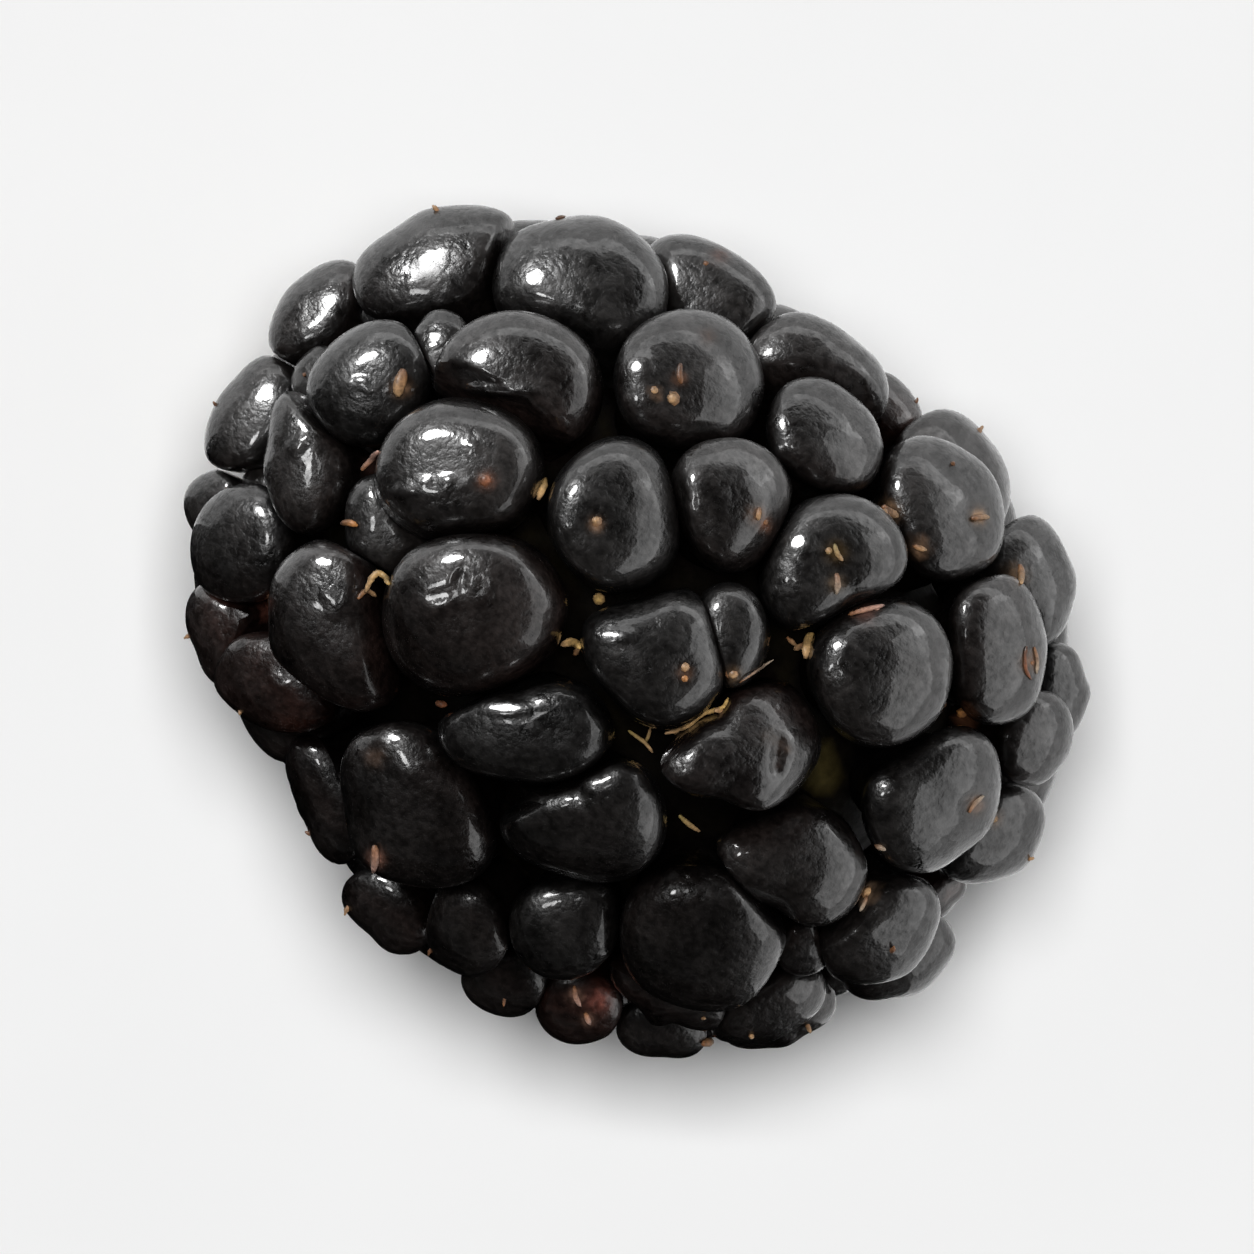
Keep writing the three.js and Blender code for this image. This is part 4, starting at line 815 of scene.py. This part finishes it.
sv = np.concatenate(style_v)
keep_low = GROUND + 0.02
sv[:, 2] = np.maximum(sv[:, 2], keep_low)
styles = mesh_object("dried_styles", (sv + SHIFT) * MM, style_f)
styles.data.polygons.foreach_set("use_smooth", np.ones(len(styles.data.polygons), bool))
a = styles.data.attributes.new("tint", "FLOAT_COLOR", "POINT")
a.data.foreach_set("color", np.column_stack([np.concatenate(style_c), np.ones(len(sv))]).astype(np.float32).ravel())
dry, nt, b = material("dried_style", (0.35, 0.2, 0.09), 0.55)
co = nt.nodes.new("ShaderNodeTexCoord").outputs["Object"]
g = noise(nt, co, 9000, 2.0)
nt.links.new(tinted(nt, "tint", remap(nt, g, 0.3, 0.7, 0.55, 1.3)), b.inputs["Base Color"])
nt.links.new(remap(nt, g, 0.3, 0.7, 0.42, 0.65), b.inputs["Roughness"])
bump = node(nt, "ShaderNodeBump", Strength=0.5, Distance=0.00002)
nt.links.new(g, bump.inputs["Height"]); nt.links.new(bump.outputs["Normal"], b.inputs["Normal"])
styles.data.materials.append(dry)

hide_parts("berry")
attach(berry, "root")
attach(styles, "root")

# ---- floor ----
R_ = np.array([0.8467, 0.5321, 0.0]); U_ = np.array([-0.5321, 0.8467, 0.0]); Z_ = np.array([0.0, 0.0, 1.0])
floor = mesh_object("floor", [(-1.5, -1.5, 0), (1.5, -1.5, 0), (1.5, 1.5, 0), (-1.5, 1.5, 0)], [(0, 1, 2, 3)])
fm, nt, b = material("pale_floor", (0.86, 0.86, 0.855), 0.6)
co = nt.nodes.new("ShaderNodeTexCoord").outputs["Object"]
g = noise(nt, co, 60, 4.0)
mixer = node(nt, "ShaderNodeMapRange", From_Min=0.3, From_Max=0.7, To_Min=0.845, To_Max=0.865)
nt.links.new(g, mixer.inputs["Value"])
comb = nt.nodes.new("ShaderNodeCombineColor")
for s in ("Red", "Green", "Blue"):
    nt.links.new(mixer.outputs["Result"], comb.inputs[s])
nt.links.new(comb.outputs["Color"], b.inputs["Base Color"])
b.inputs["Specular IOR Level"].default_value = 0.2
floor.data.materials.append(fm)
# a dark card lying at the left and below, seen only in the fruit's gloss, in place of the dark fruit beside it
arc = [math.radians(a) for a in range(FLAG[0], FLAG[1] + 1, 5)]
rim = [tuple(1.6 * (R_ * math.cos(a) + U_ * math.sin(a)) + Z_ * 0.0004) for a in arc]
flag = mesh_object("dark_card", [(0, 0, 0.0004)] + rim, [(0, k + 1, k + 2) for k in range(len(rim) - 1)])
dm, nt, b = material("dark_card", (0.0, 0.0, 0.0), 1.0)
b.inputs["Specular IOR Level"].default_value = 0.0
flag.data.materials.append(dm)
flag.visible_camera = flag.visible_diffuse = flag.visible_shadow = flag.visible_transmission = False

# ---- light ----
world = bpy.data.worlds.new("studio"); bpy.context.scene.world = world
world.use_nodes = True
world.cycles_visibility.diffuse = False
bg = world.node_tree.nodes["Background"]
wn = world.node_tree
direction = wn.nodes.new("ShaderNodeTexCoord").outputs["Generated"]
dots = []
for vec in (Z_, WALL_SIDE[0] * R_ + WALL_SIDE[1] * U_):
    n = wn.nodes.new("ShaderNodeVectorMath"); n.operation = "DOT_PRODUCT"
    wn.links.new(direction, n.inputs[0]); n.inputs[1].default_value = tuple(vec)
    dots.append(n.outputs["Value"])
# pale low walls, paler on one side, under a dim ceiling
walls = remap(wn, dots[0], 0.42, 0.02, 0.0, 1.0)
side = remap(wn, dots[1], -0.1, 0.9, HORIZON[0], HORIZON[1])
bright = maths(wn, "ADD", maths(wn, "MULTIPLY", walls, side), CEILING)
bg.inputs["Color"].default_value = (1.0, 1.0, 1.0, 1)
wn.links.new(bright, bg.inputs["Strength"])
middle = Vector((0, 0, 0.0095))


def card(name, toward, distance, width, tall, radiance, shape, shows):
    d = toward[0] * R_ + toward[1] * U_ + toward[2] * Z_
    d = Vector(d / np.linalg.norm(d))
    li = bpy.data.lights.new(name, "AREA")
    li.shape = shape; li.size = width; li.size_y = tall
    li.energy = radiance * math.pi * width * tall * (1 if shape == "RECTANGLE" else math.pi / 4)
    ob = bpy.data.objects.new(name, li)
    ob.location = middle + d * distance
    ob.visible_camera = False
    ob.visible_glossy, ob.visible_diffuse = shows == "gloss", shows == "matt"
    ob.rotation_mode = "QUATERNION"
    ob.rotation_quaternion = (-d).to_track_quat("-Z", "Y")
    bpy.context.scene.collection.objects.link(ob)
    return ob


for c in CARDS:
    card(*c)

# ---- camera: straight down, turned so the tip points to the lower right ----
cam = bpy.data.cameras.new("camera")
cam.lens = 300
cam.sensor_width = 36
cam.clip_start = 0.005
cob = bpy.data.objects.new("camera", cam)
view_width = VIEW_WIDTH
dist = view_width * cam.lens / cam.sensor_width
cob.location = (CAM_AT[0], CAM_AT[1], 0.010 + dist)
cob.rotation_euler = (0, 0, math.radians(32.15))
bpy.context.scene.collection.objects.link(cob)
bpy.context.scene.camera = cob
vs = bpy.context.scene.view_settings
vs.view_transform = "Standard"
vs.look = "None"
vs.exposure = 0.0
